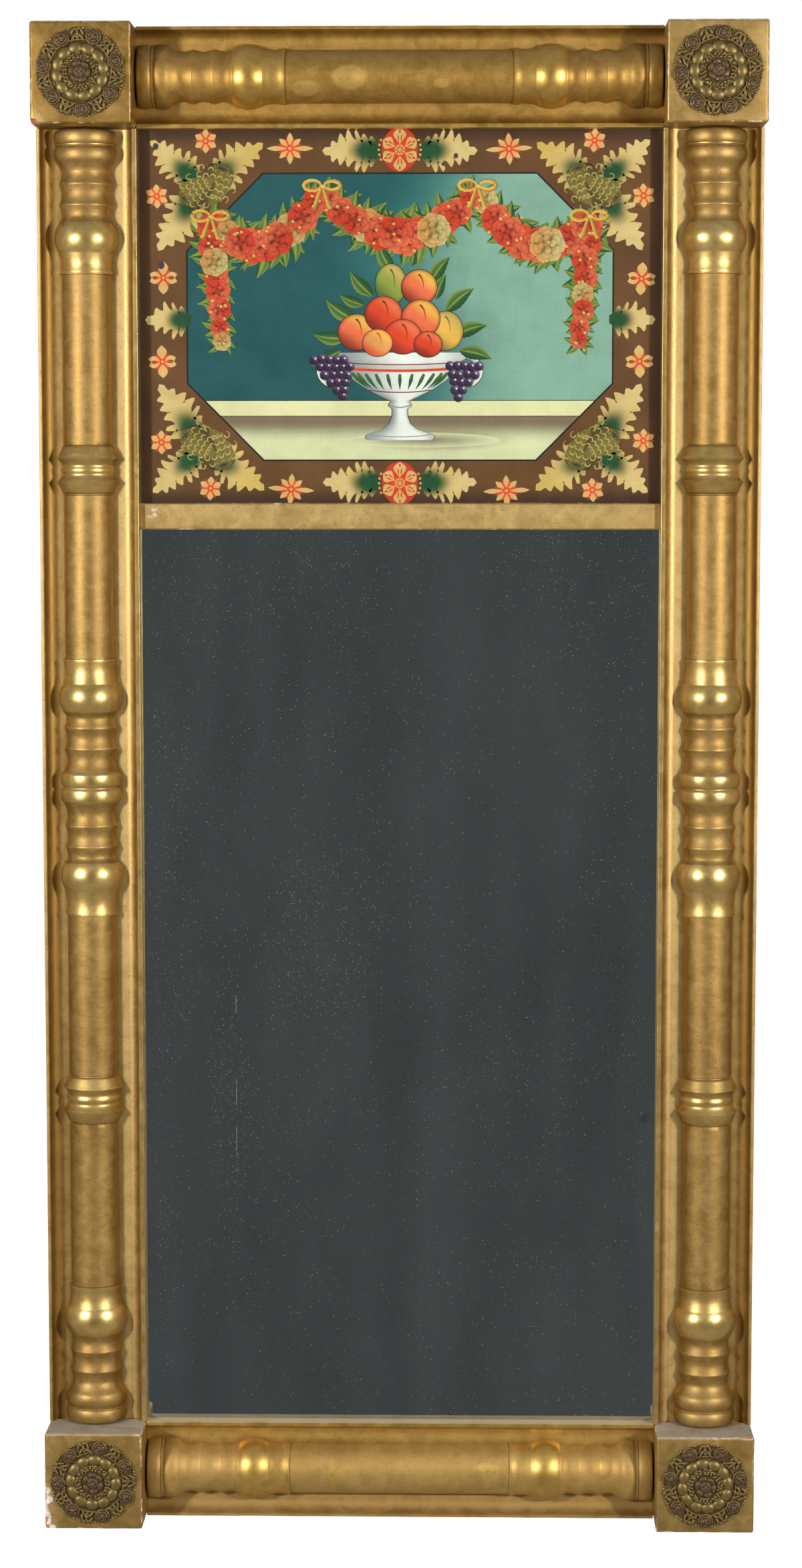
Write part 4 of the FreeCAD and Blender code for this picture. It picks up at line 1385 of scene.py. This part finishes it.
def buildDivider(s):
    (left, back, low), (right, front, high) = s["lip"]
    ease = s["ease"]
    outline = [(0, 0), (0, front - back - ease)]
    outline += arcPoints((ease, front - back - ease), ease, 180, 90, 5)
    outline += arcPoints((high - low - ease, front - back - ease), ease, 90, 0, 5) + [(high - low, 0)]
    piece = runAlong("dividerBar", outline, right - left, s["step"])
    placeMesh(piece, Matrix.Translation((0, -back * mm, high * mm)) @ Matrix.Rotation(math.radians(90), 4, "Y"))
    wavy(piece, s["unevenness"], higherThan(back + 1.0))
    combine(piece, boxBetween("tongue", *s["tongue"]), "UNION")
    smoothBy(piece, s["smooth"])

    def edgeAt(place):
        rim = min(place.z - low, high - place.z)
        end = throughStops(place.x, s["wornEnd"])
        return max(end, throughStops(rim, s["wornEdge"]))

    paintPoints(piece, "worn", edgeAt)
    paintPoints(piece, "toningAndShade", lambda place: throughStops(abs(place.x), s["toningAndShade"]))
    dress(piece, ["divider_rail"], [dividerGilding, pineAcross])
    sortFaces(piece, lambda centre, normal: 1 if centre.y > -back + 0.1 else 0)
    print("divider run")


# Painted tablet: thin coats laid over one another on the glass, drawn in millimetres about its middle
tabletSettings = {
    "middle": 791.25,
    "front": 12.0,
    "coats": 0.5,          # the coats lie in this last part of the glass's thickness
    "thickness": 0.7,
    "ease": 0.3,
    "smooth": 30,
    "octagon": (142.5, 95.0, 51.0),
    "inkLine": 1.1,
    "opening": (176.5, 125.0),
    "ledge": (-55.5, -66.0),
    "seed": 23,
    # corner sprays: middle, then way and length of each leaf
    "sprayMiddle": (132.5, 87.0),
    "sprayLeaves": [(139.0, 43.0), (35.0, 47.0), (235.0, 49.0)],
    "stars": [(-73.5, 112.0), (73.0, 111.5), (-73.5, -115.0), (72.0, -116.0)],
    "sixPetals": [(-130, 117), (-163, 80.5), (130, 117), (163, 80.5), (-161, -83.5), (-128, -114.5),
                  (130, -115.5), (164, -82.5)],
    "fourPetals": [(-159, 26.5), (-160, -29.5), (162, 25.5), (161, -29.5)],
    # degrees, length and width of the petals, degrees and length of the dashes between them
    "starPetals": [(0, 13.5, 3.0), (180, 13.5, 3.0), (90, 8.8, 3.6), (270, 8.8, 3.6), (42, 8.0, 3.2),
                   (138, 8.0, 3.2), (222, 8.0, 3.2), (318, 8.0, 3.2)],
    "starDashes": [(20, 6.5), (65, 5.5), (115, 5.5), (160, 6.5), (200, 6.5), (245, 5.5), (295, 5.5),
                   (340, 6.5)],
    "fourWays": [(90, 9.2, 6.0), (270, 9.2, 6.0), (15, 8.0, 4.6), (165, 8.0, 4.6), (195, 8.0, 4.6),
                 (345, 8.0, 4.6)],
    "fourDashes": [(50, 5.2), (130, 5.2), (230, 5.2), (310, 5.2), (0, 6.0), (180, 6.0)],
    # x, level and half width of old losses in the paint, which show blue
    "losses": ((-163.5, 113.5, 1.9), (-160.5, 35.0, 2.4), (37.5, 107.0, 1.5), (29.0, 101.5, 1.1)),
}


# The picture: a bowl of fruit under garlands
pictureSettings = {
    # (level, half width) of the bowl from its foot to its rim
    "bowl": [(-82, 21), (-81, 23), (-79, 23), (-77.5, 20), (-75, 12), (-71, 7), (-66, 5.2), (-61, 5.0),
             (-59.5, 7.4), (-57.5, 7.4), (-56, 5.6), (-53, 12), (-48, 22), (-42, 31), (-36, 37), (-31, 40),
             (-29, 40.5), (-28, 44), (-25.5, 45.5), (-23.5, 44)],
    # level, half thickness and paint of the lines round the bowl
    "bowlLines": ((-30.0, 0.35, "redDark"), (-34.0, 0.9, "red"), (-48.5, 0.35, "redDark"),
                  (-58.5, 0.4, "whiteShade"), (-78.3, 0.3, "whiteShade")),
    # x, level, way and size
    "fruitLeaves": [(-36, -14, 168, 1.5), (-30, -2, 140, 1.6), (-18, 14, 128, 1.5), (-5, 30, 110, 1.5),
                    (8, 34, 70, 1.4), (20, 22, 48, 1.5), (31, 4, 34, 1.6), (37, -12, 12, 1.5),
                    (-40, -22, 200, 1.5), (40, -22, -20, 1.5), (24, 12, 62, 1.2), (-24, 8, 152, 1.2)],
    # x, level, half width, half height, lit, body and dark paint of each fruit
    "heap": [(-6, 22, 10.5, 13.5, "straw", "greenPale", "greenMid"),
             (13, 20, 12.0, 11.5, "gold", "redPale", "redDark"),
             (-29, -10, 12.5, 12.0, "gold", "redPale", "redDark"),
             (-11, 2, 12.5, 12.0, "redPale", "red", "redDark"), (31, -9, 11.5, 13.0, "straw", "gold", "olive"),
             (14, -1, 13.0, 12.5, "gold", "redPale", "redDark"),
             (2, -13, 12.5, 11.5, "redPale", "red", "redDark"), (-15, -17, 10.0, 9.0, "gold", "peach", "red"),
             (19, -18, 9.5, 8.5, "redPale", "red", "redDark")],
    # side and count
    "grapes": ((-1, 20), (1, 15)),
    # start, end, sag and number of roses
    "garlands": [((-128, 66), (-52, 84), 27.0, 9), ((-52, 84), (52, 84), 30.0, 12),
                 ((52, 84), (128, 66), 27.0, 9), ((-127, 64), (-120, -22), 0.0, 8),
                 ((127, 64), (120, -22), 0.0, 8)],
    # where the garlands hang
    "bows": ((-52, 86), (52, 86), (-127, 66), (127, 66)),
}


# Paint as it is read off a colour card, made linear
def tint(red, green, blue):
    return tuple(c / 3294.6 if c <= 10 else ((c / 255 + 0.055) / 1.055) ** 2.4 for c in (red, green, blue))


paints = {name: tint(*card) for name, card in {
    "ground": (102, 69, 33), "groundDark": (54, 35, 20), "cream": (206, 180, 114), "creamPale": (208, 190, 130),
    "straw": (198, 172, 88), "green": (22, 74, 38), "greenMid": (58, 104, 48), "greenPale": (142, 156, 66),
    "red": (214, 66, 30), "redDark": (122, 34, 24), "redPale": (230, 112, 70), "peach": (218, 154, 88),
    "olive": (116, 104, 48), "oliveDark": (44, 34, 16), "olivePale": (186, 170, 92), "ink": (24, 20, 18),
    "tealDark": (24, 82, 86), "teal": (46, 110, 108), "tealPale": (132, 176, 156), "ledgePale": (218, 221, 168),
    "ledgeShade": (124, 108, 86), "ledgeLow": (202, 212, 166), "white": (226, 234, 228),
    "whiteShade": (132, 142, 140), "gold": (232, 184, 78), "plum": (58, 38, 70), "plumPale": (126, 104, 148),
    "blue": (38, 40, 92)}.items()}


def mixed(a, b, share):
    share = min(1.0, max(0.0, share))
    return tuple(p + (q - p) * share for p, q in zip(a, b))


def easing(value, low, high):
    t = min(1.0, max(0.0, (value - low) / (high - low)))
    return t * t * (3 - 2 * t)


# One brush stroke: a grid bent to its place, with a colour for every point.
# u runs 0 to 1 along it, v -1 to 1 across
def stroke(level, along, across, place, colour):
    clearSelection()
    bpy.ops.mesh.primitive_grid_add(x_subdivisions=along, y_subdivisions=across, size=2)
    piece = bpy.context.object
    layer = piece.data.attributes.new("tint", "FLOAT_COLOR", "POINT")
    for vertex, spot in zip(piece.data.vertices, layer.data):
        u, v = (vertex.co.x + 1) / 2, vertex.co.y
        x, z = place(u, v)
        spot.color = (*colour(u, v), 1)
        vertex.co = (x, -level, z)
    piece.data.update()
    if sum(face.normal.y * face.area for face in piece.data.polygons) > 0:
        piece.data.flip_normals()
    return piece


def petal(level, start, length, width, turn, inner, outer, blunt=1.5, grid=(9, 4)):
    ax, az = math.cos(turn), math.sin(turn)

    def place(u, v):
        half = v * width / 2 * math.sin(math.pi * u ** blunt)
        reach = start + length * u
        return reach * ax - half * az, reach * az + half * ax

    return stroke(level, *grid, place, lambda u, v: mixed(inner, outer, u))


def disc(level, x, z, wide, high, colour, along=14, across=6):
    def spread(u, v):
        return -math.cos(math.pi * u), v * math.sin(math.pi * u)

    def place(u, v):
        a, b = spread(u, v)
        return x + wide * a, z + high * b

    return stroke(level, along, across, place, lambda u, v: colour(*spread(u, v)))


# A line of the given half widths through points, each (x, z)
def ribbon(level, points, halves, colour, sample=4):
    count = len(points) - 1

    def along(u):
        i = min(count - 1, int(u * count))
        t = u * count - i
        a, b = Vector(points[i]), Vector(points[i + 1])
        return a.lerp(b, t), (b - a).normalized()

    def place(u, v):
        spot, way = along(u)
        _, before = along(max(0.0, u - 0.5 / count))
        _, after = along(min(1.0, u + 0.5 / count))
        way = (before + after).normalized() if (before + after).length > 1e-6 else way
        half = v * throughStops(u, halves)
        return spot.x - way.y * half, spot.y + way.x * half

    return stroke(level, count * sample, 2, place, colour)


def flatColour(name):
    return lambda u, v: paints[name]


# Fruit and flower shading: lit from the upper right, dark at the lower left rim
def rounded(lit, body, dark):
    def colour(a, b):
        light = 0.55 * a + 0.75 * b
        base = mixed(paints[body], paints[lit], easing(light, 0.0, 0.75))
        base = mixed(base, paints[dark], easing(-light, 0.05, 0.85) * 0.85)
        return mixed(base, paints[dark], easing(math.hypot(a, b), 0.82, 1.0) * 0.6)
    return colour


def serratedLeaf(level, length, width, teeth, tip):
    spine = [(0.0, 0.36), (0.14, 0.74), (0.36, 1.0), (0.6, 0.78), (0.82, 0.44), (0.94, 0.2), (1.0, 0.0)]

    def spread(u, v):
        bite = (u * teeth) % 1.0 if u < 1 else 1.0
        ragged = 0.90 + 0.13 * math.sin(9 * u + 2.3 * (v > 0))
        lobe = max(0.0, math.sin(math.pi * bite ** 2.2)) ** 1.1
        half = width / 2 * throughStops(u, spine) * (0.52 + 0.48 * lobe) * ragged
        return u * length + 0.10 * length * bite * abs(v) ** 2 * (1 - u), v * half

    def colour(u, v):
        x, z = spread(u, v)
        far = math.hypot((x - 0.15 * length) / (0.46 * length), z / (0.34 * width))
        leaf = mixed(paints["cream"], paints[tip], easing(u, 0.3, 1.0))
        leaf = mixed(leaf, paints["straw"], 0.35 * easing(math.sin(u * 17 + v * 3), -0.2, 1.0))
        return mixed(leaf, paints["green"], 1 - easing(far, 0.45, 1.05))

    return stroke(level, teeth * 7, 8, spread, colour)


def scaledShell():
    def spread(u, v):
        half = throughStops(u, [(0.0, 1.2), (0.2, 4.4), (0.55, 6.4), (0.85, 7.0), (1.0, 5.6)])
        return u * 17.0 + 1.6 * (1 - v * v) * u, v * half

    def colour(u, v):
        base = mixed(paints["olive"], paints["oliveDark"], easing(v, -0.1, 1.0) * 0.75)
        return mixed(base, paints["ink"], easing(u, 0.86, 1.0) * 0.8)

    pieces = [stroke(0.0, 16, 8, spread, colour)]
    for row in range(5):
        u = 0.16 + row * 0.16
        for i in range(4):
            v = -0.72 + i * 0.48 + (0.12 if row % 2 else -0.12)
            x, z = spread(u, v)
            arc = [(x + 1.5 * math.cos(t), z + 1.25 * math.sin(t)) for t in (-1.7, -1.0, -0.35, 0.35, 1.0, 1.7)]
            pieces.append(ribbon(0.012, arc, [(0, 0.1), (0.5, 0.34), (1, 0.1)], flatColour("olivePale"), 1))
    for side in (-1, 1):
        for i in range(3):
            x, z = spread(0.25 + 0.3 * i, side * 1.05)
            curl = [(x + 1.5 * math.cos(t), z + side * (1.2 + 1.2 * math.sin(t)))
                    for t in (-1.6, -0.8, 0.0, 0.9, 1.8, 2.8)]
            pieces.append(ribbon(0.012, curl, [(0, 0.3), (1, 0.12)], flatColour("olivePale"), 1))
    mouth = disc(0.014, 16.8, -0.5, 1.5, 4.0,
                 lambda a, b: mixed(paints["ink"], paints["olive"], math.hypot(a, b)))
    return joinPieces("scaledShell", pieces + [mouth])


def redRosette():
    pieces = [disc(0.0, 0, 0, 12.3, 14.6,
                   lambda a, b: mixed(paints["red"], paints["redDark"], 0.35 * math.hypot(a, b)), 28, 8)]
    for i in range(6):
        t = math.radians(30 + 60 * i)
        reach = 1.14 if abs(math.sin(t)) > 0.9 else 1.0
        pieces.append(petal(0.006, 3.6, 9.4 * reach, 8.6, t, paints["peach"], paints["cream"], 1.35))
        for lean in (-0.13, 0.13):
            pieces.append(petal(0.012, 5.6, 4.6, 0.8, t + lean, paints["red"], paints["redDark"], 1.0))
        pieces.append(petal(0.012, 9.4 * reach, 2.8, 1.4, t, paints["red"], paints["red"], 1.0))
    pieces.append(disc(0.009, 0, 0, 3.5, 3.5, flatColour("peach")))
    for i in range(8):
        pieces.append(petal(0.012, 0.9, 2.4, 0.8, i * math.pi / 4, paints["redDark"], paints["red"], 1.0))
    for side in (-1, 1):
        for i in range(-2, 3):
            pieces.append(disc(0.003, side * (14.0 - 0.35 * i * i), 3.2 * i, 0.85, 0.85, flatColour("peach"), 8,
                               4))
    return joinPieces("redRosette", pieces)


# ways: (degrees, length, width) of each petal
def petalFlower(name, ways, dashes, heart):
    pieces = []
    for degrees, length, width in ways:
        pieces.append(petal(0.0, 0.6, length, width, math.radians(degrees), paints["peach"], paints["cream"],
                            1.25))
    for degrees, length in dashes:
        pieces.append(petal(0.006, 1.2, length, 1.1, math.radians(degrees), paints["red"], paints["red"], 1.0))
    pieces.append(disc(0.009, 0, 0, heart, heart, flatColour("red"), 10, 4))
    pieces.append(disc(0.012, 0, 0, heart * 0.5, heart * 0.5, flatColour("peach"), 8, 4))
    return joinPieces(name, pieces)


def gardenRose(name, outer, inner, dark):
    pieces = [disc(0.0, 0, 0, 9.6, 9.6, flatColour(dark), 14, 2)]
    for ring, (count, start, length, width) in enumerate([(7, 3.6, 6.6, 8.0), (6, 2.2, 5.4, 5.6),
                                                          (4, 0.4, 4.4, 3.6)]):
        for i in range(count):
            t = (i + 0.37 * ring) * 2 * math.pi / count
            lit = easing(math.sin(t + 0.7), -0.9, 1.0)
            edge = mixed(paints[inner], paints[outer], lit)
            pieces.append(petal(0.003 + 0.004 * ring + 0.0006 * i, start, length, width, t, paints[dark], edge,
                                1.7, (5, 2)))
    pieces.append(disc(0.018, 0, 0, 1.6, 1.6, lambda a, b: mixed(paints[dark], paints[inner], 0.4), 8, 4))
    return joinPieces(name, pieces)


def greenLeaf(grid):
    def place(u, v):
        half = 3.4 * math.sin(math.pi * u ** 0.8) * (0.88 + 0.12 * ((u * 7) % 1.0))
        return 15.0 * u, v * half + 1.6 * math.sin(u * 2.2)

    def colour(u, v):
        body = mixed(paints["greenMid"], paints["green"], easing(-v, -0.3, 0.9))
        body = mixed(body, paints["greenPale"], 0.7 * easing(v, 0.35, 1.0))
        return mixed(body, paints["greenPale"], 1 - easing(abs(v), 0.04, 0.16))

    return joinPieces("greenLeaf", [stroke(0.0, *grid, place, colour)])


def stamp(motif, x, z, degrees=0.0, scale=1.0, level=0.0, flip=(1, 1)):
    piece = copyPiece(motif, motif.name + "Copy")
    turn = Matrix.Rotation(-math.radians(degrees), 4, "Y")
    size = Matrix.Diagonal((scale * flip[0], 1, scale * flip[1], 1))
    placeMesh(piece, Matrix.Translation((x, -level, z)) @ size @ turn)
    return piece


# Part of the octagon between two levels, cut at its corners so that they stay sharp
def octagonBands(level, low, high, rowHeight, colour, s, grow=0.0, columns=30):
    wide, tall, cut = s["octagon"]
    corner = tall - cut + 0.414 * grow
    levels = [low] + [z for z in (-corner, corner) if low < z < high] + [high]
    pieces = []
    for start, end in zip(levels, levels[1:]):
        def place(u, v):
            z = start + (end - start) * u
            return v * (wide + grow - max(0.0, abs(z) - corner)), z
        pieces.append(stroke(level, max(1, round((end - start) / rowHeight)), columns, place,
                             lambda u, v: colour(*place(u, v))))
    return pieces


def borderPieces(s):
    wide, high = s["opening"]

    def groundColour(u, v):
        x, z = wide * (2 * u - 1), high * v
        # the ground darkens within 13 mm of the opening's edge: painted shade of the frame round the glass
        edge = min(wide - abs(x), high - abs(z))
        return mixed(paints["groundDark"], paints["ground"],
                     easing(edge, 0.0, 13.0) * (0.86 + 0.14 * math.sin(x * 0.05 + z * 0.08)))

    pieces = [stroke(0.01, 70, 50, lambda u, v: (wide * (2 * u - 1), high * v), groundColour)]
    shell = scaledShell()
    rosette = redRosette()
    star = petalFlower("starFlower", s["starPetals"], s["starDashes"], 2.2)
    six = petalFlower("sixPetals", [(30 + 60 * i, 6.6, 4.0) for i in range(6)],
                      [(60 * i, 5.6) for i in range(6)], 2.0)
    four = petalFlower("fourPetals", s["fourWays"], s["fourDashes"], 1.8)
    leaves = {tip: joinPieces("leaf_" + tip, [serratedLeaf(0.0, 44.0, 31.0, 7, tip)])
              for tip in ("creamPale", "straw")}
    middleLeaf = joinPieces("middleLeaf", [serratedLeaf(0.0, 40.0, 34.0, 7, "creamPale")])
    sideLeaf = joinPieces("sideLeaf", [serratedLeaf(0.0, 31.0, 30.0, 5, "creamPale")])
    x, z = s["sprayMiddle"]
    for right in (-1, 1):
        for up in (-1, 1):
            for i, (way, length) in enumerate(s["sprayLeaves"]):
                tip = leaves["straw" if (i + right + up) % 2 else "creamPale"]
                t = math.radians(way)
                start = Vector((math.cos(t), math.sin(t))) * 3.0
                # drawn for the upper left corner and mirrored to the others
                pieces.append(stamp(tip, right * (x - start.x), up * (z + start.y), way, length / 44.0,
                                    0.06 + 0.02 * i, (-right, up)))
            pieces.append(stamp(shell, right * (x - 5.0), up * (z - 12.0), 72, 1.5, 0.13, (-right, up)))
            pieces.append(stamp(shell, right * (x - 8.0), up * (z + 4.0), 212, 1.4, 0.15, (-right, up)))
    for up in (-1, 1):
        pieces.append(stamp(rosette, 0, up * 111.0, 0, 1.0, 0.12, (1, up)))
        for right in (-1, 1):
            pieces.append(stamp(middleLeaf, right * 12.0, up * 110.5, 0, 1.0, 0.08, (right, up)))
    for right in (-1, 1):
        pieces.append(stamp(sideLeaf, right * (s["octagon"][0] - 2.0), -1.5, 0, 1.0, 0.06, (right, 1)))
    for motif, places in ((star, s["stars"]), (six, s["sixPetals"]), (four, s["fourPetals"])):
        for i, (px, pz) in enumerate(places):
            pieces.append(stamp(motif, px, pz, 4.0 * math.sin(i * 2.3), 1.12, 0.08))
    for spare in (shell, rosette, star, six, four, middleLeaf, sideLeaf, *leaves.values()):
        bpy.data.objects.remove(spare)
    for px, pz, wide in s["losses"]:
        pieces.append(disc(0.19, px, pz, wide, wide * 1.2,
                           lambda a, b: mixed(paints["blue"], paints["ground"], math.hypot(a, b) * 0.7), 8, 4))
    return pieces


def picturePieces(s):
    dice = random.Random(s["seed"])
    high = s["octagon"][1]
    shelf, lip = s["ledge"]

    def airColour(x, z):
        side = easing(x + 14 * math.sin(z * 0.045), -60.0, 95.0)
        return mixed(mixed(paints["tealDark"], paints["teal"], easing(side, 0.0, 0.5)), paints["tealPale"],
                     easing(side, 0.35, 1.0) * 0.92)

    def lowColour(x, z):
        deep = easing(lip - z, 4.0, 17.0)
        shade = mixed(paints["ledgeShade"], paints["ledgeLow"], deep)
        return mixed(shade, paints["ledgeShade"],
                     0.55 * (1 - easing(math.hypot((x - 22) / 62, (z + 82) / 9), 0.4, 1.0)))

    line = s["inkLine"]
    pieces = octagonBands(0.05, -high - line, high + line, 60, flatColour("ink"), s, line, 2)
    pieces += octagonBands(0.058, shelf, high, 3.2, airColour, s)
    pieces += octagonBands(0.060, lip, shelf, 4, flatColour("ledgePale"), s)
    pieces += octagonBands(0.062, -high, lip, 2, lowColour, s)
    for z in (shelf, lip):
        pieces += octagonBands(0.066, z - 0.25, z + 0.25, 1, flatColour("oliveDark"), s)
    pieces += bowlPieces(pictureSettings)
    pieces += fruitPieces(pictureSettings, dice)
    pieces += garlandPieces(pictureSettings, dice)
    return pieces


# A footed bowl, inked round and shaded to the left
def bowlPieces(s):
    profile = s["bowl"]
    low, tall = profile[0][0], profile[-1][0] - profile[0][0]

    def shape(grow):
        return lambda u, v: (v * (throughStops(low + tall * u, profile) + grow), low + tall * u)

    def colour(u, v):
        body = mixed(paints["white"], paints["whiteShade"], easing(-v, -0.1, 0.95) * 0.95)
        body = mixed(body, paints["whiteShade"], easing(v, 0.62, 1.0) * 0.5)
        return mixed(body, paints["whiteShade"], 0.35 * (1 - easing(abs(u - 0.83), 0.0, 0.08)))

    pieces = [disc(0.07, 16, -82, 52, 5.0,
                   lambda a, b: mixed(paints["ledgeShade"], paints["ledgeLow"], math.hypot(a, b)), 24, 6),
              stroke(0.08, 60, 2, shape(0.5), flatColour("ink")), stroke(0.085, 60, 24, shape(0.0), colour)]
    for z, thick, name in s["bowlLines"]:
        half = throughStops(z, profile) - 0.4
        sag = [(half * (i / 8 - 1), z - 1.6 * (1 - (i / 8 - 1) ** 2)) for i in range(17)]
        pieces.append(ribbon(0.09, sag, [(0, thick)], flatColour(name), 2))
    for i in range(-5, 6):
        turn = i * 0.25
        reach = [(throughStops(z, profile) * 0.93 * math.sin(turn), z - 1.4 * math.cos(turn))
                 for z in (-36.5, -40, -43.5, -47)]
        pieces.append(ribbon(0.092, reach, [(0, 0.9), (0.4, 1.3), (1, 0.1)],
                             lambda u, v: mixed(paints["greenMid"], paints["green"], u), 3))
    for side in (-1, 1):
        loop = [(side * (43 + 11 * math.sin(t)), -36 + 11 * math.cos(t) * 0.9)
                for t in [0.15 + 0.3 * i for i in range(10)]]
        pieces.append(ribbon(0.078, loop, [(0, 2.0), (0.5, 2.4), (1, 1.7)], flatColour("ink"), 3))
        pieces.append(ribbon(0.079, loop, [(0, 1.5), (0.5, 1.9), (1, 1.2)],
                             lambda u, v: mixed(paints["white"], paints["whiteShade"],
                                                easing(-v * side, -0.6, 1.0)), 3))
    return pieces


def fruitPieces(s, dice):
    pieces = []
    leaf = greenLeaf((22, 10))
    for i, (x, z, degrees, size) in enumerate(s["fruitLeaves"]):
        pieces.append(stamp(leaf, x, z, degrees, size, 0.10 + 0.004 * i))
    bpy.data.objects.remove(leaf)
    for i, (x, z, wide, tall, lit, body, dark) in enumerate(s["heap"]):
        level = 0.15 + 0.012 * i
        pieces.append(disc(level, x, z, wide + 0.4, tall + 0.4, flatColour("ink"), 22, 2))
        pieces.append(disc(level + 0.003, x, z, wide, tall, rounded(lit, body, dark), 22, 12))
        cleft = [(x - wide * 0.1 + wide * 0.35 * math.sin(t), z + tall * 0.75 * math.cos(t))
                 for t in (0.15, 0.5, 0.9, 1.3, 1.7)]
        pieces.append(ribbon(level + 0.005, cleft, [(0, 0.7), (1, 0.08)], flatColour(dark), 3))
    for side, count in s["grapes"]:
        for i in range(count):
            row = int((math.sqrt(8 * i + 1) - 1) / 2)
            x = side * (39 + 1.2 * row) + (i - row * (row + 1) / 2 - row / 2) * 5.0 + dice.uniform(-0.6, 0.6)
            z = -53 + 5.0 * row + dice.uniform(-0.7, 0.7)
            pieces.append(disc(0.28 + 0.002 * i, x, z, 3.2, 3.2, rounded("plumPale", "plum", "ink"), 12, 6))
            pieces.append(disc(0.34, x + 0.9, z + 1.0, 0.6, 0.6, flatColour("white"), 6, 3))
    return pieces


def garlandPieces(s, dice):
    roses = [gardenRose("redRose", "redPale", "red", "redDark"),
             gardenRose("creamRose", "creamPale", "peach", "olive")]
    leaf = greenLeaf((8, 4))
    pieces = []
    for index, (start, end, sag, count) in enumerate(s["garlands"]):
        for i in range(count):
            t = (i + 0.5) / count
            x = start[0] + (end[0] - start[0]) * t
            z = start[1] + (end[1] - start[1]) * t - sag * 4 * t * (1 - t)
            slope = math.degrees(math.atan2(end[1] - start[1] - sag * 4 * (1 - 2 * t), end[0] - start[0]))
            fat = 0.95 + 0.45 * math.sin(math.pi * t) if sag else 1.3 - 0.6 * t
            for k, lean in enumerate((62, 118, -62, -118, 25, -155)):
                pieces.append(stamp(leaf, x, z, slope + lean + dice.uniform(-14, 14),
                                    fat * dice.uniform(0.85, 1.1),
                                    0.075 + 0.0011 * (i * 6 + k) + 0.0002 * index))
            kind = roses[1 if (i * 2 + index) % 5 == 2 else 0]
            pieces.append(stamp(kind, x + dice.uniform(-1, 1), z + dice.uniform(-1.5, 1.5),
                                dice.uniform(0, 360), fat * dice.uniform(0.78, 0.92),
                                0.165 + 0.03 * (i % 3) + 0.0004 * index))
            for k in range(2):
                px, pz = x + dice.uniform(-7, 7) * fat, z + dice.uniform(-9, 9) * fat
                pieces.append(disc(0.262 + 0.0004 * (2 * i + k), px, pz, 1.1, 1.1,
                                   rounded("creamPale", "gold", "olive"), 8, 4))
    for spare in (*roses, leaf):
        bpy.data.objects.remove(spare)
    for x, z in s["bows"]:
        for side in (-1, 1):
            loop = [(x + side * (1 + 5.5 * (1 - math.cos(t))), z + 3.2 * math.sin(t) + 1.5)
                    for t in [0.63 * i for i in range(11)]]
            pieces.append(ribbon(0.30, loop, [(0, 0.8), (0.5, 1.7), (1, 0.8)],
                                 lambda u, v: mixed(paints["gold"], paints["olive"], easing(v, -0.6, 1.0)), 3))
            tail = [(x + side * 1.5 * i, z - 3.4 * i + 1.2 * math.sin(i * 1.6)) for i in range(5)]
            pieces.append(ribbon(0.295, tail, [(0, 0.8), (1, 1.7)],
                                 lambda u, v: mixed(paints["gold"], paints["olive"], easing(v, -0.8, 0.8)), 4))
        pieces.append(disc(0.31, x, z + 0.6, 1.8, 1.6, rounded("creamPale", "gold", "olive"), 10, 5))
    return pieces


def tabletMaterial():
    material, tree, shader, coord = newMaterial("tabletPainting")
    colour = node(tree, "Attribute", attribute_name="tint").outputs["Color"]
    brushed = noise(tree, stretched(tree, coord, (45, 1, 700)), 1.0, 3.0, 0.6)
    upright = noise(tree, stretched(tree, coord, (520, 1, 60)), 1.0, 3.0, 0.6)
    clouds = noise(tree, coord, 38.0, 4.0, 0.6)
    uneven = fade(tree, weighed(tree, (brushed, 0.22), (upright, 0.16), (clouds, 0.62)), 0.30, 0.70, 0.76, 0.94)
    shade = node(tree, "CombineColor", {0: uneven, 1: uneven, 2: uneven}).outputs[0]
    colour = blend(tree, 1.0, colour, shade, "MULTIPLY")
    # pinholes and crumbs lost from the paint
    losses = fade(tree, noise(tree, coord, 520.0, 2.0), 0.735, 0.77, 0.0, 0.7)
    colour = blend(tree, losses, colour, (0.035, 0.024, 0.016, 1))
    tree.links.new(colour, shader["Base Color"])
    tree.links.new(fade(tree, clouds, 0.3, 0.7, 0.42, 0.56), shader["Roughness"])
    shader["Specular IOR Level"].default_value = 0.25
    shader["Coat Weight"].default_value = 1.0
    shader["Coat Roughness"].default_value = 0.03
    return material


def layCoats(name, pieces, s, material):
    coats = joinPieces(name, pieces)
    placeMesh(coats, Matrix.Translation((0, -(s["front"] - s["coats"]) * mm, s["middle"] * mm))
              @ Matrix.Scale(mm, 4))
    applyModifier(coats, "SOLIDIFY", thickness=s["thickness"] * mm, offset=-1.0)
    editWhole(coats, lambda: bpy.ops.mesh.remove_doubles(threshold=1e-7))
    dress(coats, [], [material])
    print("coats of", name, len(coats.data.polygons))


def buildTablet(s):
    material = tabletMaterial()
    low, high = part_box("tablet_glass")
    piece = boxBetween("tabletGlass", [low[0] / mm, -high[1] / mm, low[2] / mm],
                       [high[0] / mm, s["front"] - s["coats"], high[2] / mm])
    bevelEdges(piece, s["ease"], 2)
    layer = piece.data.attributes.new("tint", "FLOAT_COLOR", "POINT")
    for spot in layer.data:
        spot.color = (*paints["groundDark"], 1)
    smoothBy(piece, s["smooth"])
    dress(piece, ["tablet_glass"], [material])
    layCoats("tabletBorder", borderPieces(s), s, material)
    layCoats("tabletPicture", picturePieces(s), s, material)
    print("tablet painted")


buildMembers(memberSettings)
buildBlocks(blockSettings)
buildRosettes(rosetteSettings)
buildDivider(dividerSettings)
buildTablet(tabletSettings)
buildBoards(boardSettings)
buildHanger(hangerSettings)

for name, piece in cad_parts.items():
    if not piece.hide_render:
        piece.data.materials.clear()
        piece.data.materials.append(plate if name == "mirror_glass" else pine if "slips" in name else iron)
